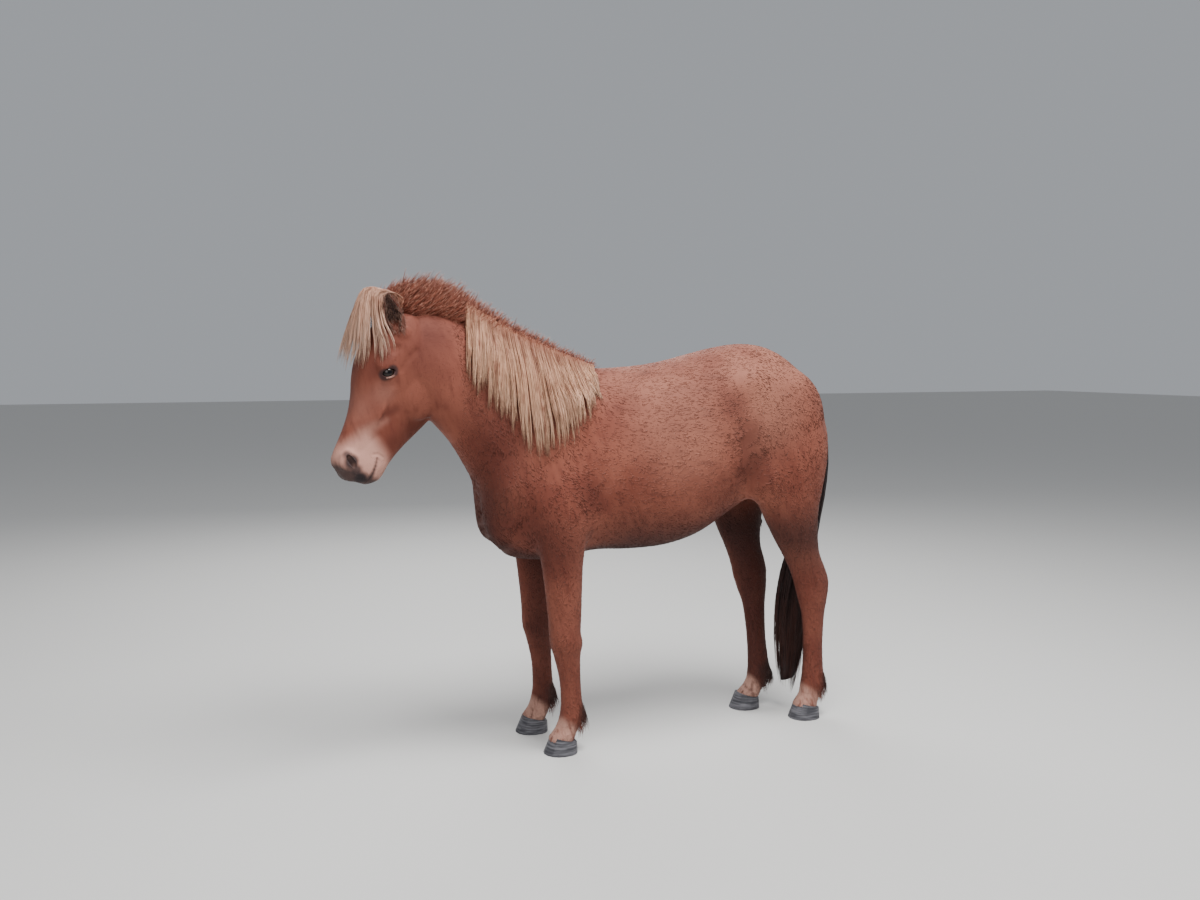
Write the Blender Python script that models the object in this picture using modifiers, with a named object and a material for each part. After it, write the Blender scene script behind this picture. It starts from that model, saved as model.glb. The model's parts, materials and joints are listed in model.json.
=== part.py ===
# A young Icelandic horse, standing, as a life-size still model.
# The horse faces -X, its left side is -Y, and its hooves stand on Z = 0. Sizes are in metres.

import math
import random

import bmesh
import bpy
import numpy as np
from mathutils import Matrix, Vector
from mathutils.bvhtree import BVHTree

# Driving sizes
WITHERS_HEIGHT = 1.265
CROUP_HEIGHT = 1.335
BARREL_HALF_WIDTH = 0.245
HEAD_LENGTH = 0.546
GAP = 0.0003
SHORTEST_EDGE = 0.00002
FORWARD = Vector((-1, 0, 0))
ACROSS = Vector((0, 1, 0))

# How finely the flesh is built
FLESH_VOXEL = 0.0075
FLESH_TRIANGLES = 5100
EVEN_TURNS = 4
BLEND_TURNS = 110
STEPS_BETWEEN_STATIONS = 5

# Trunk sections across X: place, top, bottom, half width, height of the widest level, and how round the
# parts above and below it are
TRUNK = (
    (-0.550, 0.975, 0.780, 0.075, 0.880, 2.0, 2.0),
    (-0.520, 1.050, 0.700, 0.135, 0.870, 2.0, 2.0),
    (-0.460, 1.140, 0.636, 0.175, 0.860, 2.0, 2.0),
    (-0.370, 1.200, 0.612, 0.195, 0.860, 1.9, 2.1),
    (-0.260, 1.240, 0.618, 0.203, 0.870, 1.8, 2.1),
    (-0.150, WITHERS_HEIGHT - 0.012, 0.632, 0.215, 0.890, 1.7, 2.1),
    (-0.030, WITHERS_HEIGHT - 0.008, 0.628, 0.236, 0.900, 1.9, 2.1),
    (0.090, 1.272, 0.634, BARREL_HALF_WIDTH, 0.910, 2.1, 2.1),
    (0.200, 1.298, 0.662, BARREL_HALF_WIDTH, 0.940, 2.2, 2.1),
    (0.300, 1.322, 0.712, 0.232, 0.990, 2.2, 2.0),
    (0.400, CROUP_HEIGHT, 0.770, 0.225, 1.060, 2.1, 2.0),
    (0.490, CROUP_HEIGHT - 0.012, 0.790, 0.222, 1.070, 2.0, 2.0),
    (0.570, 1.280, 0.800, 0.205, 1.040, 2.0, 2.0),
    (0.640, 1.212, 0.820, 0.165, 1.000, 2.0, 2.0),
    (0.690, 1.135, 0.850, 0.115, 0.980, 2.0, 2.0),
    (0.715, 1.070, 0.890, 0.060, 0.970, 2.0, 2.0),
)

# Neck sections from the withers to the poll: crest x and z, throat x and z, half width, sideways bend. The
# widest level lies at a share of the way up from the throat.
NECK = (
    (-0.080, 1.235, -0.280, 0.730, 0.130, 0.000),
    (-0.190, 1.262, -0.420, 0.745, 0.160, 0.000),
    (-0.310, 1.303, -0.505, 0.800, 0.162, 0.000),
    (-0.420, 1.345, -0.566, 0.876, 0.142, -0.004),
    (-0.520, 1.384, -0.602, 0.944, 0.120, -0.012),
    (-0.620, 1.412, -0.638, 1.004, 0.104, -0.024),
    (-0.720, 1.424, -0.682, 1.058, 0.092, -0.040),
    (-0.790, 1.412, -0.740, 1.120, 0.078, -0.054),
)
NECK_WIDEST = 0.42
NECK_CREST_ROUND = 1.75

# Head sections down the face from the poll: distance, reach to the front, reach to the back, half width,
# how far behind the front line the widest level lies, front and back roundness
POLL = Vector((-0.828, -0.060, 1.440))
HEAD_YAW = math.radians(14)
HEAD_TILT = math.radians(18)
HEAD = (
    (0.010, -0.040, 0.090, 0.036, 0.065, 2.0, 2.0),
    (0.035, -0.002, 0.135, 0.056, 0.070, 2.0, 2.0),
    (0.070, 0.026, 0.172, 0.072, 0.075, 2.2, 2.0),
    (0.110, 0.040, 0.205, 0.082, 0.080, 2.5, 1.9),
    (0.155, 0.048, 0.232, 0.086, 0.084, 2.7, 1.8),
    (0.200, 0.051, 0.246, 0.085, 0.085, 2.8, 1.8),
    (0.250, 0.046, 0.248, 0.077, 0.082, 2.7, 1.7),
    (0.300, 0.036, 0.232, 0.066, 0.074, 2.5, 1.7),
    (0.350, 0.031, 0.203, 0.056, 0.068, 2.4, 1.8),
    (0.400, 0.033, 0.172, 0.049, 0.062, 2.3, 1.9),
    (0.450, 0.039, 0.146, 0.046, 0.058, 2.2, 2.0),
    (0.485, 0.041, 0.132, 0.048, 0.056, 2.2, 2.1),
    (0.512, 0.032, 0.122, 0.046, 0.056, 2.2, 2.2),
    (0.533, 0.012, 0.106, 0.038, 0.054, 2.1, 2.2),
    (HEAD_LENGTH, -0.014, 0.084, 0.022, 0.050, 2.0, 2.0),
)

# Leg sections: height, front edge, back edge, half width, and how far the leg's middle stands out to its side
FORELEG = (
    (1.020, -0.440, -0.220, 0.040, 0.140),
    (0.900, -0.450, -0.200, 0.068, 0.145),
    (0.800, -0.430, -0.196, 0.078, 0.148),
    (0.720, -0.405, -0.212, 0.074, 0.147),
    (0.640, -0.383, -0.228, 0.062, 0.145),
    (0.540, -0.366, -0.233, 0.052, 0.141),
    (0.450, -0.354, -0.236, 0.046, 0.138),
    (0.400, -0.350, -0.238, 0.047, 0.137),
    (0.360, -0.346, -0.232, 0.048, 0.136),
    (0.315, -0.332, -0.238, 0.041, 0.134),
    (0.240, -0.314, -0.236, 0.032, 0.131),
    (0.165, -0.308, -0.230, 0.033, 0.129),
    (0.120, -0.312, -0.218, 0.039, 0.127),
    (0.085, -0.324, -0.236, 0.036, 0.125),
    (0.055, -0.344, -0.252, 0.043, 0.124),
    (0.020, -0.350, -0.256, 0.045, 0.124),
)
HINDLEG = (
    (1.150, 0.360, 0.620, 0.050, 0.120),
    (1.050, 0.350, 0.680, 0.085, 0.126),
    (0.950, 0.360, 0.686, 0.094, 0.130),
    (0.860, 0.378, 0.672, 0.088, 0.132),
    (0.760, 0.412, 0.655, 0.074, 0.130),
    (0.670, 0.462, 0.652, 0.061, 0.126),
    (0.600, 0.506, 0.662, 0.051, 0.122),
    (0.540, 0.540, 0.688, 0.045, 0.119),
    (0.490, 0.562, 0.704, 0.044, 0.116),
    (0.430, 0.582, 0.700, 0.041, 0.113),
    (0.370, 0.600, 0.692, 0.035, 0.110),
    (0.260, 0.610, 0.690, 0.031, 0.106),
    (0.165, 0.610, 0.698, 0.033, 0.102),
    (0.118, 0.606, 0.708, 0.040, 0.100),
    (0.084, 0.600, 0.690, 0.037, 0.099),
    (0.055, 0.582, 0.676, 0.043, 0.098),
    (0.020, 0.578, 0.672, 0.045, 0.098),
)
LEG_FRONT_ROUND = 2.2

# How far each leg is set forward of those sections, at the listed heights, and how far out to its side
STANCE = {
    "fore_left": {"section": FORELEG, "side": -1, "heights": (0.0, 1.0), "forward": (0.0, 0.0),
                  "inward": 0.0},
    "fore_right": {"section": FORELEG, "side": 1, "heights": (0.0, 0.4, 0.8), "forward": (0.025, 0.010, 0.0),
                   "inward": 0.015},
    "hind_left": {"section": HINDLEG, "side": -1, "heights": (0.0, 1.0), "forward": (0.0, 0.0),
                  "inward": 0.0},
    "hind_right": {"section": HINDLEG, "side": 1, "heights": (0.0, 0.11, 0.48, 0.84, 1.05),
                   "forward": (0.150, 0.115, 0.125, 0.055, 0.0), "inward": 0.020},
}

# Muscles and bony points: name, middle, reaches, lean about Y in degrees. Each stands on both sides.
MUSCLES = (
    ("shoulder", (-0.330, 0.130, 0.980), (0.120, 0.068, 0.230), 32),
    ("triceps", (-0.270, 0.145, 0.840), (0.115, 0.066, 0.115), 25),
    ("shoulder_point", (-0.440, 0.105, 0.860), (0.085, 0.078, 0.100), 0),
    ("breast", (-0.485, 0.062, 0.770), (0.058, 0.070, 0.100), 0),
    ("hip_point", (0.350, 0.160, 1.170), (0.090, 0.058, 0.080), 0),
    ("haunch", (0.490, 0.118, 1.060), (0.180, 0.105, 0.200), 20),
    ("stifle", (0.425, 0.148, 0.870), (0.085, 0.076, 0.105), -15),
    ("buttock", (0.610, 0.094, 0.930), (0.078, 0.078, 0.190), 4),
    ("elbow", (-0.228, 0.146, 0.755), (0.042, 0.050, 0.055), 0),
)

# Forms of the face in the head's own directions: along the face, out of it and to the side
FACE = (
    ("cheek", (0.215, -0.150, 0.046), (0.105, 0.095, 0.040)),
    ("brow", (0.178, -0.016, 0.062), (0.050, 0.040, 0.028)),
    ("face_crest", (0.300, -0.045, 0.048), (0.070, 0.018, 0.018)),
    ("nostril_rim", (0.490, -0.002, 0.032), (0.038, 0.034, 0.020)),
    ("upper_lip", (0.510, -0.026, 0.012), (0.040, 0.042, 0.034)),
    ("chin", (0.496, -0.100, 0.000), (0.038, 0.028, 0.030)),
    ("ear_root", (0.090, -0.045, 0.050), (0.040, 0.038, 0.030)),
)

# Eye: middle, radius, the way its long axis runs and half the opening between the lids
EYE = (0.208, -0.026, 0.068)
EYE_RADIUS = 0.0205
LID_THICKNESS = 0.0045
EYE_SLANT = (0.55, 0.80, -0.10)
EYE_OUTWARD = (0.02, 0.12, 0.99)
EYE_OPENING = (0.0215, 0.0120)

# Nostril and the line of the mouth, from its corner to the middle of the lips
NOSTRIL = (0.491, -0.003, 0.050)
NOSTRIL_REACHES = (0.026, 0.0095, 0.014)
NOSTRIL_SLANT = (0.61, -0.79, 0.0)
MOUTH = (
    (0.458, -0.080, 0.038),
    (0.484, -0.081, 0.042),
    (0.508, -0.079, 0.040),
    (0.528, -0.074, 0.032),
    (0.541, -0.069, 0.018),
    (0.545, -0.067, 0.000),
)
MOUTH_WIDTH = 0.0022
MOUTH_DEPTH = 0.009

# Ear: middle of its root, tip, and its sections: how far up, half width, half depth. Its opening is narrow at
# the root and gapes by half an angle above it, and the whole ear bows back a little.
EAR_ROOT = (0.095, -0.040, 0.052)
EAR_TIP = (-0.014, 0.046, 0.074)
EAR_OPENS = (0.10, 0.45, 0.88)
EAR = (
    (-0.20, 0.020, 0.019),
    (0.00, 0.024, 0.021),
    (0.20, 0.029, 0.023),
    (0.42, 0.031, 0.021),
    (0.65, 0.026, 0.016),
    (0.85, 0.015, 0.010),
    (1.00, 0.003, 0.002),
)
EAR_WALL = 0.0045
EAR_POINTS = 9
EAR_ROOT_GAPE = math.radians(14)
EAR_GAPE = math.radians(58)
EAR_BOW = 0.010

# Cuts between the pieces: a point on each plane and the way it faces, in X and Z
HEAD_CUT = ((-0.690, 1.240), (-0.961, -0.276))
NECK_CUT = ((-0.350, 1.035), (-0.750, 0.660))
FORELEG_CUT = (
    (-0.60, -0.10), (-0.60, 0.45), (-0.44, 0.61), (-0.458, 0.74), (-0.43, 0.86), (-0.36, 0.95),
    (-0.27, 0.95), (-0.19, 0.86), (-0.172, 0.72), (-0.19, 0.60), (-0.10, 0.45), (-0.10, -0.10),
)
HINDLEG_CUT = (
    (0.20, -0.10), (0.20, 0.55), (0.325, 0.72), (0.325, 0.86), (0.37, 1.00), (0.45, 1.09), (0.55, 1.10),
    (0.64, 1.03), (0.70, 0.90), (0.80, 0.80), (0.90, 0.50), (0.90, -0.10),
)

# Hooves: place of each, the slope of the coronet, and sections: height, front edge, back edge, half width
HOOF_MIDDLE = {"fore_left": -0.300, "fore_right": -0.325, "hind_left": 0.627, "hind_right": 0.482}
CORONET_HEIGHT = 0.048
CORONET_SLOPE = 0.26
HOOF = ((0.000, -0.062, 0.047, 0.053), (0.012, -0.057, 0.047, 0.052), (0.080, -0.027, 0.043, 0.040))
HEEL_ROUND = 2.6

# Tail: middle line from the dock, half width across and half depth
TAIL = (
    (0.640, 0.000, 1.120, 0.026, 0.022),
    (0.694, 0.000, 1.078, 0.034, 0.028),
    (0.722, 0.000, 1.010, 0.048, 0.030),
    (0.724, 0.000, 0.920, 0.058, 0.032),
    (0.714, -0.002, 0.820, 0.058, 0.034),
    (0.694, -0.005, 0.720, 0.050, 0.040),
    (0.662, -0.006, 0.610, 0.044, 0.052),
    (0.634, -0.006, 0.500, 0.044, 0.064),
    (0.620, -0.004, 0.380, 0.044, 0.068),
    (0.614, -0.004, 0.240, 0.042, 0.064),
    (0.610, -0.004, 0.120, 0.032, 0.046),
    (0.608, -0.004, 0.055, 0.016, 0.020),
)
TAIL_SECTION_UP = Vector((1, 0, 0.35)).normalized()

# Roll of hair along the crest: place in X, how high it stands and half its width
CREST_ROLL = (
    (-0.838, 0.010, 0.012),
    (-0.815, 0.052, 0.026),
    (-0.770, 0.082, 0.034),
    (-0.700, 0.092, 0.036),
    (-0.630, 0.086, 0.034),
    (-0.560, 0.058, 0.030),
    (-0.480, 0.042, 0.028),
    (-0.400, 0.034, 0.026),
    (-0.300, 0.027, 0.024),
    (-0.220, 0.021, 0.020),
    (-0.150, 0.010, 0.012),
)

# Mane: where its locks grow along the crest in X, how far they hang and how far they drift back
MANE_NEAR = {
    "side": -1,
    "count": 19,
    "width": 0.074,
    "stations": (
        (-0.600, 0.130, -0.010),
        (-0.570, 0.230, -0.015),
        (-0.505, 0.290, -0.020),
        (-0.463, 0.330, -0.008),
        (-0.423, 0.390, 0.006),
        (-0.373, 0.375, 0.012),
        (-0.313, 0.310, 0.010),
        (-0.265, 0.235, 0.008),
        (-0.210, 0.165, 0.000),
        (-0.168, 0.080, 0.000),
    ),
}
MANE_FAR = {
    "side": 1,
    "count": 10,
    "width": 0.072,
    "stations": (
        (-0.780, 0.170, 0.010),
        (-0.720, 0.250, 0.015),
        (-0.650, 0.310, 0.030),
        (-0.580, 0.300, 0.045),
        (-0.500, 0.220, 0.060),
    ),
}
LOCK_THICKNESS = 0.012
LOCK_STAND_OFF = 0.010
LOCK_LAYER_STEP = 0.008

# Forelock, in the head's own directions: its root, how it arches forward, and where its locks end from the
# right side of the face to the left
FORELOCK_COUNT = 9
FORELOCK_ROOT = (0.045, -0.010)
FORELOCK_ARCH = ((-0.016, 0.012), (-0.032, 0.046), (-0.012, 0.082))
FORELOCK_ENDS = (
    (-1.00, 0.190, 0.050, -0.102),
    (-0.50, 0.232, 0.082, -0.062),
    (0.00, 0.240, 0.076, 0.000),
    (0.50, 0.225, 0.050, 0.054),
    (1.00, 0.180, -0.010, 0.100),
)
FORELOCK_WIDTH = 0.038
FORELOCK_THICKNESS = 0.010
FORELOCK_RINGS = 8

# Locks of the tail, and of the longer hair behind each fetlock
TAIL_LOCKS = 11
TAIL_LOCK_WIDTH = 0.058
TAIL_LOCK_THICKNESS = 0.018
FEATHER_LOCKS = 3
FEATHER_WIDTH = 0.022
FEATHER_THICKNESS = 0.012

# Finishes, and the widest angle between two facets that still shades round, in degrees
COAT_COLOR = (0.27, 0.085, 0.036)
TAIL_COLOR = (0.055, 0.024, 0.016)
HOOF_COLOR = (0.028, 0.028, 0.033)
EYE_COLOR = (0.010, 0.006, 0.004)
SHARPEST_ROUND = 40

# The angles, in degrees, up to which creases between hair facets are taken out, the widest that works first
FLAT_CREASES = (8, 7, 6, 5, 4, 3, 2, 1)


def smooth_stations(stations, steps=STEPS_BETWEEN_STATIONS):
    """The stations with steps - 1 more rows between each two, on a curve through them all."""
    rows = np.array(stations, float)
    padded = np.vstack([2 * rows[0] - rows[1], rows, 2 * rows[-1] - rows[-2]])
    made = []
    for k in range(1, len(padded) - 2):
        before, here, there, after = padded[k - 1 : k + 3]
        for t in np.arange(steps) / steps:
            made.append(
                0.5
                * (
                    2 * here
                    + (there - before) * t
                    + (2 * before - 5 * here + 4 * there - after) * t * t
                    + (3 * here - before - 3 * there + after) * t**3
                )
            )
    made.append(rows[-1])
    return made


def power(value, exponent):
    return math.copysign(abs(value) ** exponent, value)


def section_ring(middle, up, side, above, below, half_width, above_round=2.0, below_round=2.0, count=48):
    """Points round a section that reaches above and below its middle. A roundness of 2 is an ellipse."""
    points = []
    for k in range(count):
        angle = 2 * math.pi * k / count
        c, s = math.cos(angle), math.sin(angle)
        reach, roundness = (above, above_round) if c >= 0 else (below, below_round)
        points.append(
            middle + up * (reach * power(c, 2 / roundness)) + side * (half_width * power(s, 2 / roundness))
        )
    return points


def loft(name, rings):
    """A closed skin through rings of the same number of points."""
    bm = bmesh.new()
    made = [[bm.verts.new(p) for p in ring] for ring in rings]
    count = len(made[0])
    for a, b in zip(made, made[1:]):
        for k in range(count):
            n = (k + 1) % count
            bm.faces.new((a[k], a[n], b[n], b[k]))
    bm.faces.new(made[0][::-1])
    bm.faces.new(made[-1])
    bmesh.ops.recalc_face_normals(bm, faces=bm.faces)
    mesh = bpy.data.meshes.new(name)
    bm.to_mesh(mesh)
    bm.free()
    return add_object(name, mesh)


def add_object(name, mesh):
    obj = bpy.data.objects.new(name, mesh)
    bpy.context.scene.collection.objects.link(obj)
    return obj


def ellipsoid(name, middle, reaches, lean_degrees=0.0):
    bm = bmesh.new()
    bmesh.ops.create_uvsphere(bm, u_segments=20, v_segments=12, radius=1.0)
    place = (
        Matrix.Translation(middle)
        @ Matrix.Rotation(math.radians(lean_degrees), 4, "Y")
        @ Matrix.Diagonal((*reaches, 1.0))
    )
    bmesh.ops.transform(bm, matrix=place, verts=bm.verts)
    mesh = bpy.data.meshes.new(name)
    bm.to_mesh(mesh)
    bm.free()
    return add_object(name, mesh)


def head_axes():
    """Unit vectors of the head: down the face, out of its front, and to its left."""
    forward = Vector((-math.cos(HEAD_YAW), -math.sin(HEAD_YAW), 0))
    down_face = forward * math.sin(HEAD_TILT) - Vector((0, 0, math.cos(HEAD_TILT)))
    front = forward * math.cos(HEAD_TILT) + Vector((0, 0, math.sin(HEAD_TILT)))
    left = Vector((math.sin(HEAD_YAW), -math.cos(HEAD_YAW), 0))
    return down_face, front, left


def head_point(along, front, left=0.0):
    """A point given down the face from the poll, out of the face and to the horse's left."""
    a, b, c = head_axes()
    return POLL + a * along + b * front + c * left


def trunk_form():
    rings = []
    for x, top, bottom, width, level, over, under in smooth_stations(TRUNK):
        rings.append(
            section_ring(
                Vector((x, 0, level)), Vector((0, 0, 1)), ACROSS,
                top - level, level - bottom, width, over, under,
            )
        )
    return loft("trunk", rings)


def neck_form():
    rings = []
    for crest_x, crest_z, throat_x, throat_z, width, bend in smooth_stations(NECK):
        crest = Vector((crest_x, bend, crest_z))
        throat = Vector((throat_x, bend, throat_z))
        up = (crest - throat).normalized()
        height = (crest - throat).length
        middle = throat + up * height * NECK_WIDEST
        side = up.cross(FORWARD).normalized()
        above, below = height * (1 - NECK_WIDEST), height * NECK_WIDEST
        rings.append(section_ring(middle, up, side, above, below, width, NECK_CREST_ROUND))
    return loft("neck", rings)


def head_form():
    down_face, front, left = head_axes()
    rings = []
    for along, ahead, behind, width, level, front_round, back_round in smooth_stations(HEAD):
        middle = POLL + down_face * along - front * level
        rings.append(
            section_ring(middle, front, left, ahead + level, behind - level, width, front_round, back_round)
        )
    return loft("head", rings)


def leg_form(name, stance):
    rings = []
    for height, ahead, behind, width, out in smooth_stations(stance["section"]):
        forward = np.interp(height, stance["heights"], stance["forward"])
        inward = np.interp(height, (0.0, 0.9), (stance["inward"], 0.0))
        middle = Vector(((ahead + behind) / 2 - forward, stance["side"] * (out - inward), height))
        reach = (behind - ahead) / 2
        rings.append(section_ring(middle, FORWARD, ACROSS, reach, reach, width, LEG_FRONT_ROUND))
    return loft(name, rings)


def muscle_forms():
    for name, (x, y, z), reaches, lean in MUSCLES:
        for side in (-1, 1):
            yield ellipsoid(name, (x, side * y, z), reaches, lean)


def face_forms():
    down_face, front, left = head_axes()
    for name, (along, out, beside), reaches in FACE:
        for side in (-1, 1) if beside else (1,):
            form = ellipsoid(name, (0, 0, 0), reaches)
            turn = Matrix((down_face, front, left)).transposed().to_4x4()
            form.data.transform(Matrix.Translation(head_point(along, out, side * beside)) @ turn)
            if turn.determinant() < 0:
                form.data.flip_normals()
            yield form


def bake_modifiers(obj):
    """The object's mesh as its modifiers leave it."""
    graph = bpy.context.evaluated_depsgraph_get()
    mesh = bpy.data.meshes.new_from_object(obj.evaluated_get(graph))
    obj.modifiers.clear()
    obj.data = mesh


def joined(name, objects):
    bm = bmesh.new()
    for obj in objects:
        bm.from_mesh(obj.data)
    mesh = bpy.data.meshes.new(name)
    bm.to_mesh(mesh)
    bm.free()
    for obj in objects:
        bpy.data.objects.remove(obj)
    return add_object(name, mesh)


def between(value, low, high):
    """0 below low, 1 above high and a smooth rise between them."""
    t = min(max((value - low) / (high - low), 0.0), 1.0)
    return t * t * (3 - 2 * t)


def headness(point):
    """1 on the head, 0 behind the throat."""
    down_face, front, left = head_axes()
    away = point - POLL
    return between(away.dot(front) + 0.35 * away.dot(down_face), -0.25, -0.13)


def legness(point):
    return between(0.7 - point.z, 0, 0.1)


def bodyness(point):
    """1 on the trunk and the back of the neck, 0 on the legs and the head."""
    return between(point.z, 0.62, 0.78) * (1 - headness(point)) * (1 - 0.6 * between(-point.x, 0.5, 0.7))


def weight_group(obj, name, weight):
    group = obj.vertex_groups.new(name=name)
    for vertex in obj.data.vertices:
        group.add([vertex.index], weight(vertex.co), "REPLACE")
    return group.name


def flesh_form():
    """The whole body as one smooth skin, finest on the head."""
    forms = [trunk_form(), neck_form(), head_form(), *muscle_forms(), *face_forms()]
    forms += [leg_form(name, stance) for name, stance in STANCE.items()]
    flesh = joined("flesh", forms)
    remesh = flesh.modifiers.new("one_skin", "REMESH")
    remesh.mode = "VOXEL"
    remesh.voxel_size = FLESH_VOXEL
    bake_modifiers(flesh)
    even = flesh.modifiers.new("even", "SMOOTH")
    even.factor = 0.5
    even.iterations = EVEN_TURNS
    blend = flesh.modifiers.new("blend", "SMOOTH")
    blend.factor = 0.5
    blend.iterations = BLEND_TURNS
    blend.vertex_group = weight_group(flesh, "body", bodyness)
    thin = flesh.modifiers.new("thin", "DECIMATE")
    thin.ratio = FLESH_TRIANGLES / (2 * len(flesh.data.polygons))
    thin.vertex_group = weight_group(flesh, "plain", lambda p: 1 - 0.2 * headness(p) - 0.2 * legness(p))
    thin.vertex_group_factor = 0.02
    bake_modifiers(flesh)
    return flesh


def head_direction(vector):
    """A direction given along the face, out of it and to the left."""
    a, b, c = head_axes()
    return (a * vector[0] + b * vector[1] + c * vector[2]).normalized()


def mirrored(vector, side):
    return (vector[0], vector[1], side * vector[2])


def frame_at(origin, first, third):
    """A placement whose X runs along first and whose Z lies near third."""
    x = first.normalized()
    y = third.cross(x).normalized()
    z = x.cross(y)
    return Matrix.Translation(origin) @ Matrix((x, y, z)).transposed().to_4x4()


def prism(name, outline, start, end):
    """The outline, given in X and Y, drawn out along Z from start to end."""
    bm = bmesh.new()
    face = bm.faces.new([bm.verts.new((x, y, start)) for x, y in outline])
    drawn = bmesh.ops.extrude_face_region(bm, geom=[face])
    bmesh.ops.translate(
        bm, vec=(0, 0, end - start), verts=[v for v in drawn["geom"] if isinstance(v, bmesh.types.BMVert)]
    )
    bmesh.ops.recalc_face_normals(bm, faces=bm.faces)
    mesh = bpy.data.meshes.new(name)
    bm.to_mesh(mesh)
    bm.free()
    return add_object(name, mesh)


def half_space(point, toward):
    """A block that fills everything on the toward side of a plane through point."""
    bm = bmesh.new()
    bmesh.ops.create_cube(bm, size=4.0)
    place = frame_at(Vector(point), ACROSS, Vector(toward)) @ Matrix.Translation((0, 0, 2.0))
    bmesh.ops.transform(bm, matrix=place, verts=bm.verts)
    mesh = bpy.data.meshes.new("half_space")
    bm.to_mesh(mesh)
    bm.free()
    return add_object("half_space", mesh)


def combine(obj, other, operation, solver="EXACT"):
    """Cut obj with other, join them or keep what they share."""
    boolean = obj.modifiers.new("combine", "BOOLEAN")
    boolean.operation = operation
    boolean.solver = solver
    boolean.object = other
    bake_modifiers(obj)
    bpy.data.objects.remove(other)
    return obj


def copy_of(obj, name):
    return add_object(name, obj.data.copy())


def grown(obj, by):
    """A copy of obj whose surface stands out by that much."""
    copy = copy_of(obj, "grown")
    normals = [v.normal.copy() for v in copy.data.vertices]
    for vertex, normal in zip(copy.data.vertices, normals):
        vertex.co += normal * by
    return copy


def boxes_meet(a, b):
    lows = [np.array(obj.bound_box).min(axis=0) for obj in (a, b)]
    highs = [np.array(obj.bound_box).max(axis=0) for obj in (a, b)]
    return bool(np.all(lows[0] < highs[1] + 2 * GAP) and np.all(lows[1] < highs[0] + 2 * GAP))


def clear_of(obj, *neighbours):
    """Cut obj back so that it keeps the gap to each neighbour."""
    for neighbour in neighbours:
        if boxes_meet(obj, neighbour):
            combine(obj, grown(neighbour, 1.5 * GAP), "DIFFERENCE", "MANIFOLD")
    return obj


def pairs_across(edge, source):
    """The pairs of triangles that meet at edge and were cut from one face."""
    faces = list(edge.link_faces)
    for number, first in enumerate(faces):
        for second in faces[number + 1 :]:
            if first[source] == second[source]:
                yield first, second


def replace_faces(bm, old, corner_lists, source):
    mark = old[0][source]
    for face in old:
        bm.faces.remove(face)
    for corners in corner_lists:
        bm.faces.new(corners)[source] = mark


def turn_cut(bm, edge, source):
    """Turn the cut along edge inside one of the faces that share it, where that gives two sound triangles."""
    for first, second in pairs_across(edge, source):
        loop = next(loop for loop in first.loops if loop.edge is edge)
        start, end, far = loop.vert, loop.link_loop_next.vert, loop.link_loop_prev.vert
        near = next(vert for vert in second.verts if vert not in edge.verts)
        if near is far or bm.edges.get((near, far)):
            continue
        across = near.co - far.co
        normals = (across.cross(start.co - far.co), (end.co - far.co).cross(across))
        normal = first.normal if first.calc_area() > second.calc_area() else second.normal
        if min(new.dot(normal) for new in normals) > 0:
            replace_faces(bm, (first, second), ((far, start, near), (far, near, end)), source)
            return True
    return False


def raise_cut(bm, edge, source):
    """Give the cut along edge a corner of its own in the middle, just proud of one face that shares it."""
    for first, second in pairs_across(edge, source):
        loop = next(loop for loop in first.loops if loop.edge is edge)
        start, end, far = loop.vert, loop.link_loop_next.vert, loop.link_loop_prev.vert
        near = next(vert for vert in second.verts if vert not in edge.verts)
        if near is not far:
            lift = (first.normal + second.normal).normalized() * SHORTEST_EDGE * 4
            middle = bm.verts.new((start.co + end.co) / 2 + lift)
            corners = ((start, middle, far), (middle, end, far), (end, middle, near), (middle, start, near))
            replace_faces(bm, (first, second), corners, source)
            return


def drop_folds(bm):
    """Take out each pair of triangles that lie on the same three corners and face opposite ways."""
    seen = {}
    folded = []
    for face in bm.faces:
        corners = frozenset(face.verts)
        if corners in seen:
            folded += [face, seen.pop(corners)]
        else:
            seen[corners] = face
    bmesh.ops.delete(bm, geom=folded, context="FACES_ONLY")
    bmesh.ops.delete(bm, geom=[edge for edge in bm.edges if not edge.link_faces], context="EDGES")


def connected(faces, linked):
    """The faces in groups that hang together, where linked(face) gives the faces beside one."""
    unseen = set(faces)
    groups = []
    while unseen:
        waiting = [unseen.pop()]
        group = []
        while waiting:
            face = waiting.pop()
            group.append(face)
            for other in linked(face):
                if other in unseen:
                    unseen.discard(other)
                    waiting.append(other)
        groups.append(group)
    return groups


def beside(face):
    return [other for edge in face.edges for other in edge.link_faces]


def part_points(bm):
    """Give each fan of triangles a corner of its own where two of them touch in one point."""
    for vert in [vert for vert in bm.verts if not vert.is_manifold]:
        fans = connected(vert.link_faces, beside)
        for fan in fans[1:]:
            middle = sum((face.calc_center_median() for face in fan), Vector()) / len(fan)
            own = bm.verts.new(vert.co + (middle - vert.co).normalized() * SHORTEST_EDGE * 2)
            for face in fan:
                corners = [own if corner is vert else corner for corner in face.verts]
                bm.faces.remove(face)
                bm.faces.new(corners)
    bmesh.ops.delete(bm, geom=[edge for edge in bm.edges if not edge.link_faces], context="EDGES")


def cut_to_triangles(bm):
    """Cut every face into triangles, with no cut along a line that another face's cut already follows."""
    source = bm.faces.layers.int.new("source")
    for number, face in enumerate(bm.faces):
        face[source] = number
    bmesh.ops.triangulate(bm, faces=bm.faces)
    bm.normal_update()
    drop_folds(bm)
    for edge in [edge for edge in bm.edges if len(edge.link_faces) > 2]:
        if not turn_cut(bm, edge, source):
            raise_cut(bm, edge, source)
    bm.faces.layers.int.remove(source)
    part_points(bm)


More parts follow.
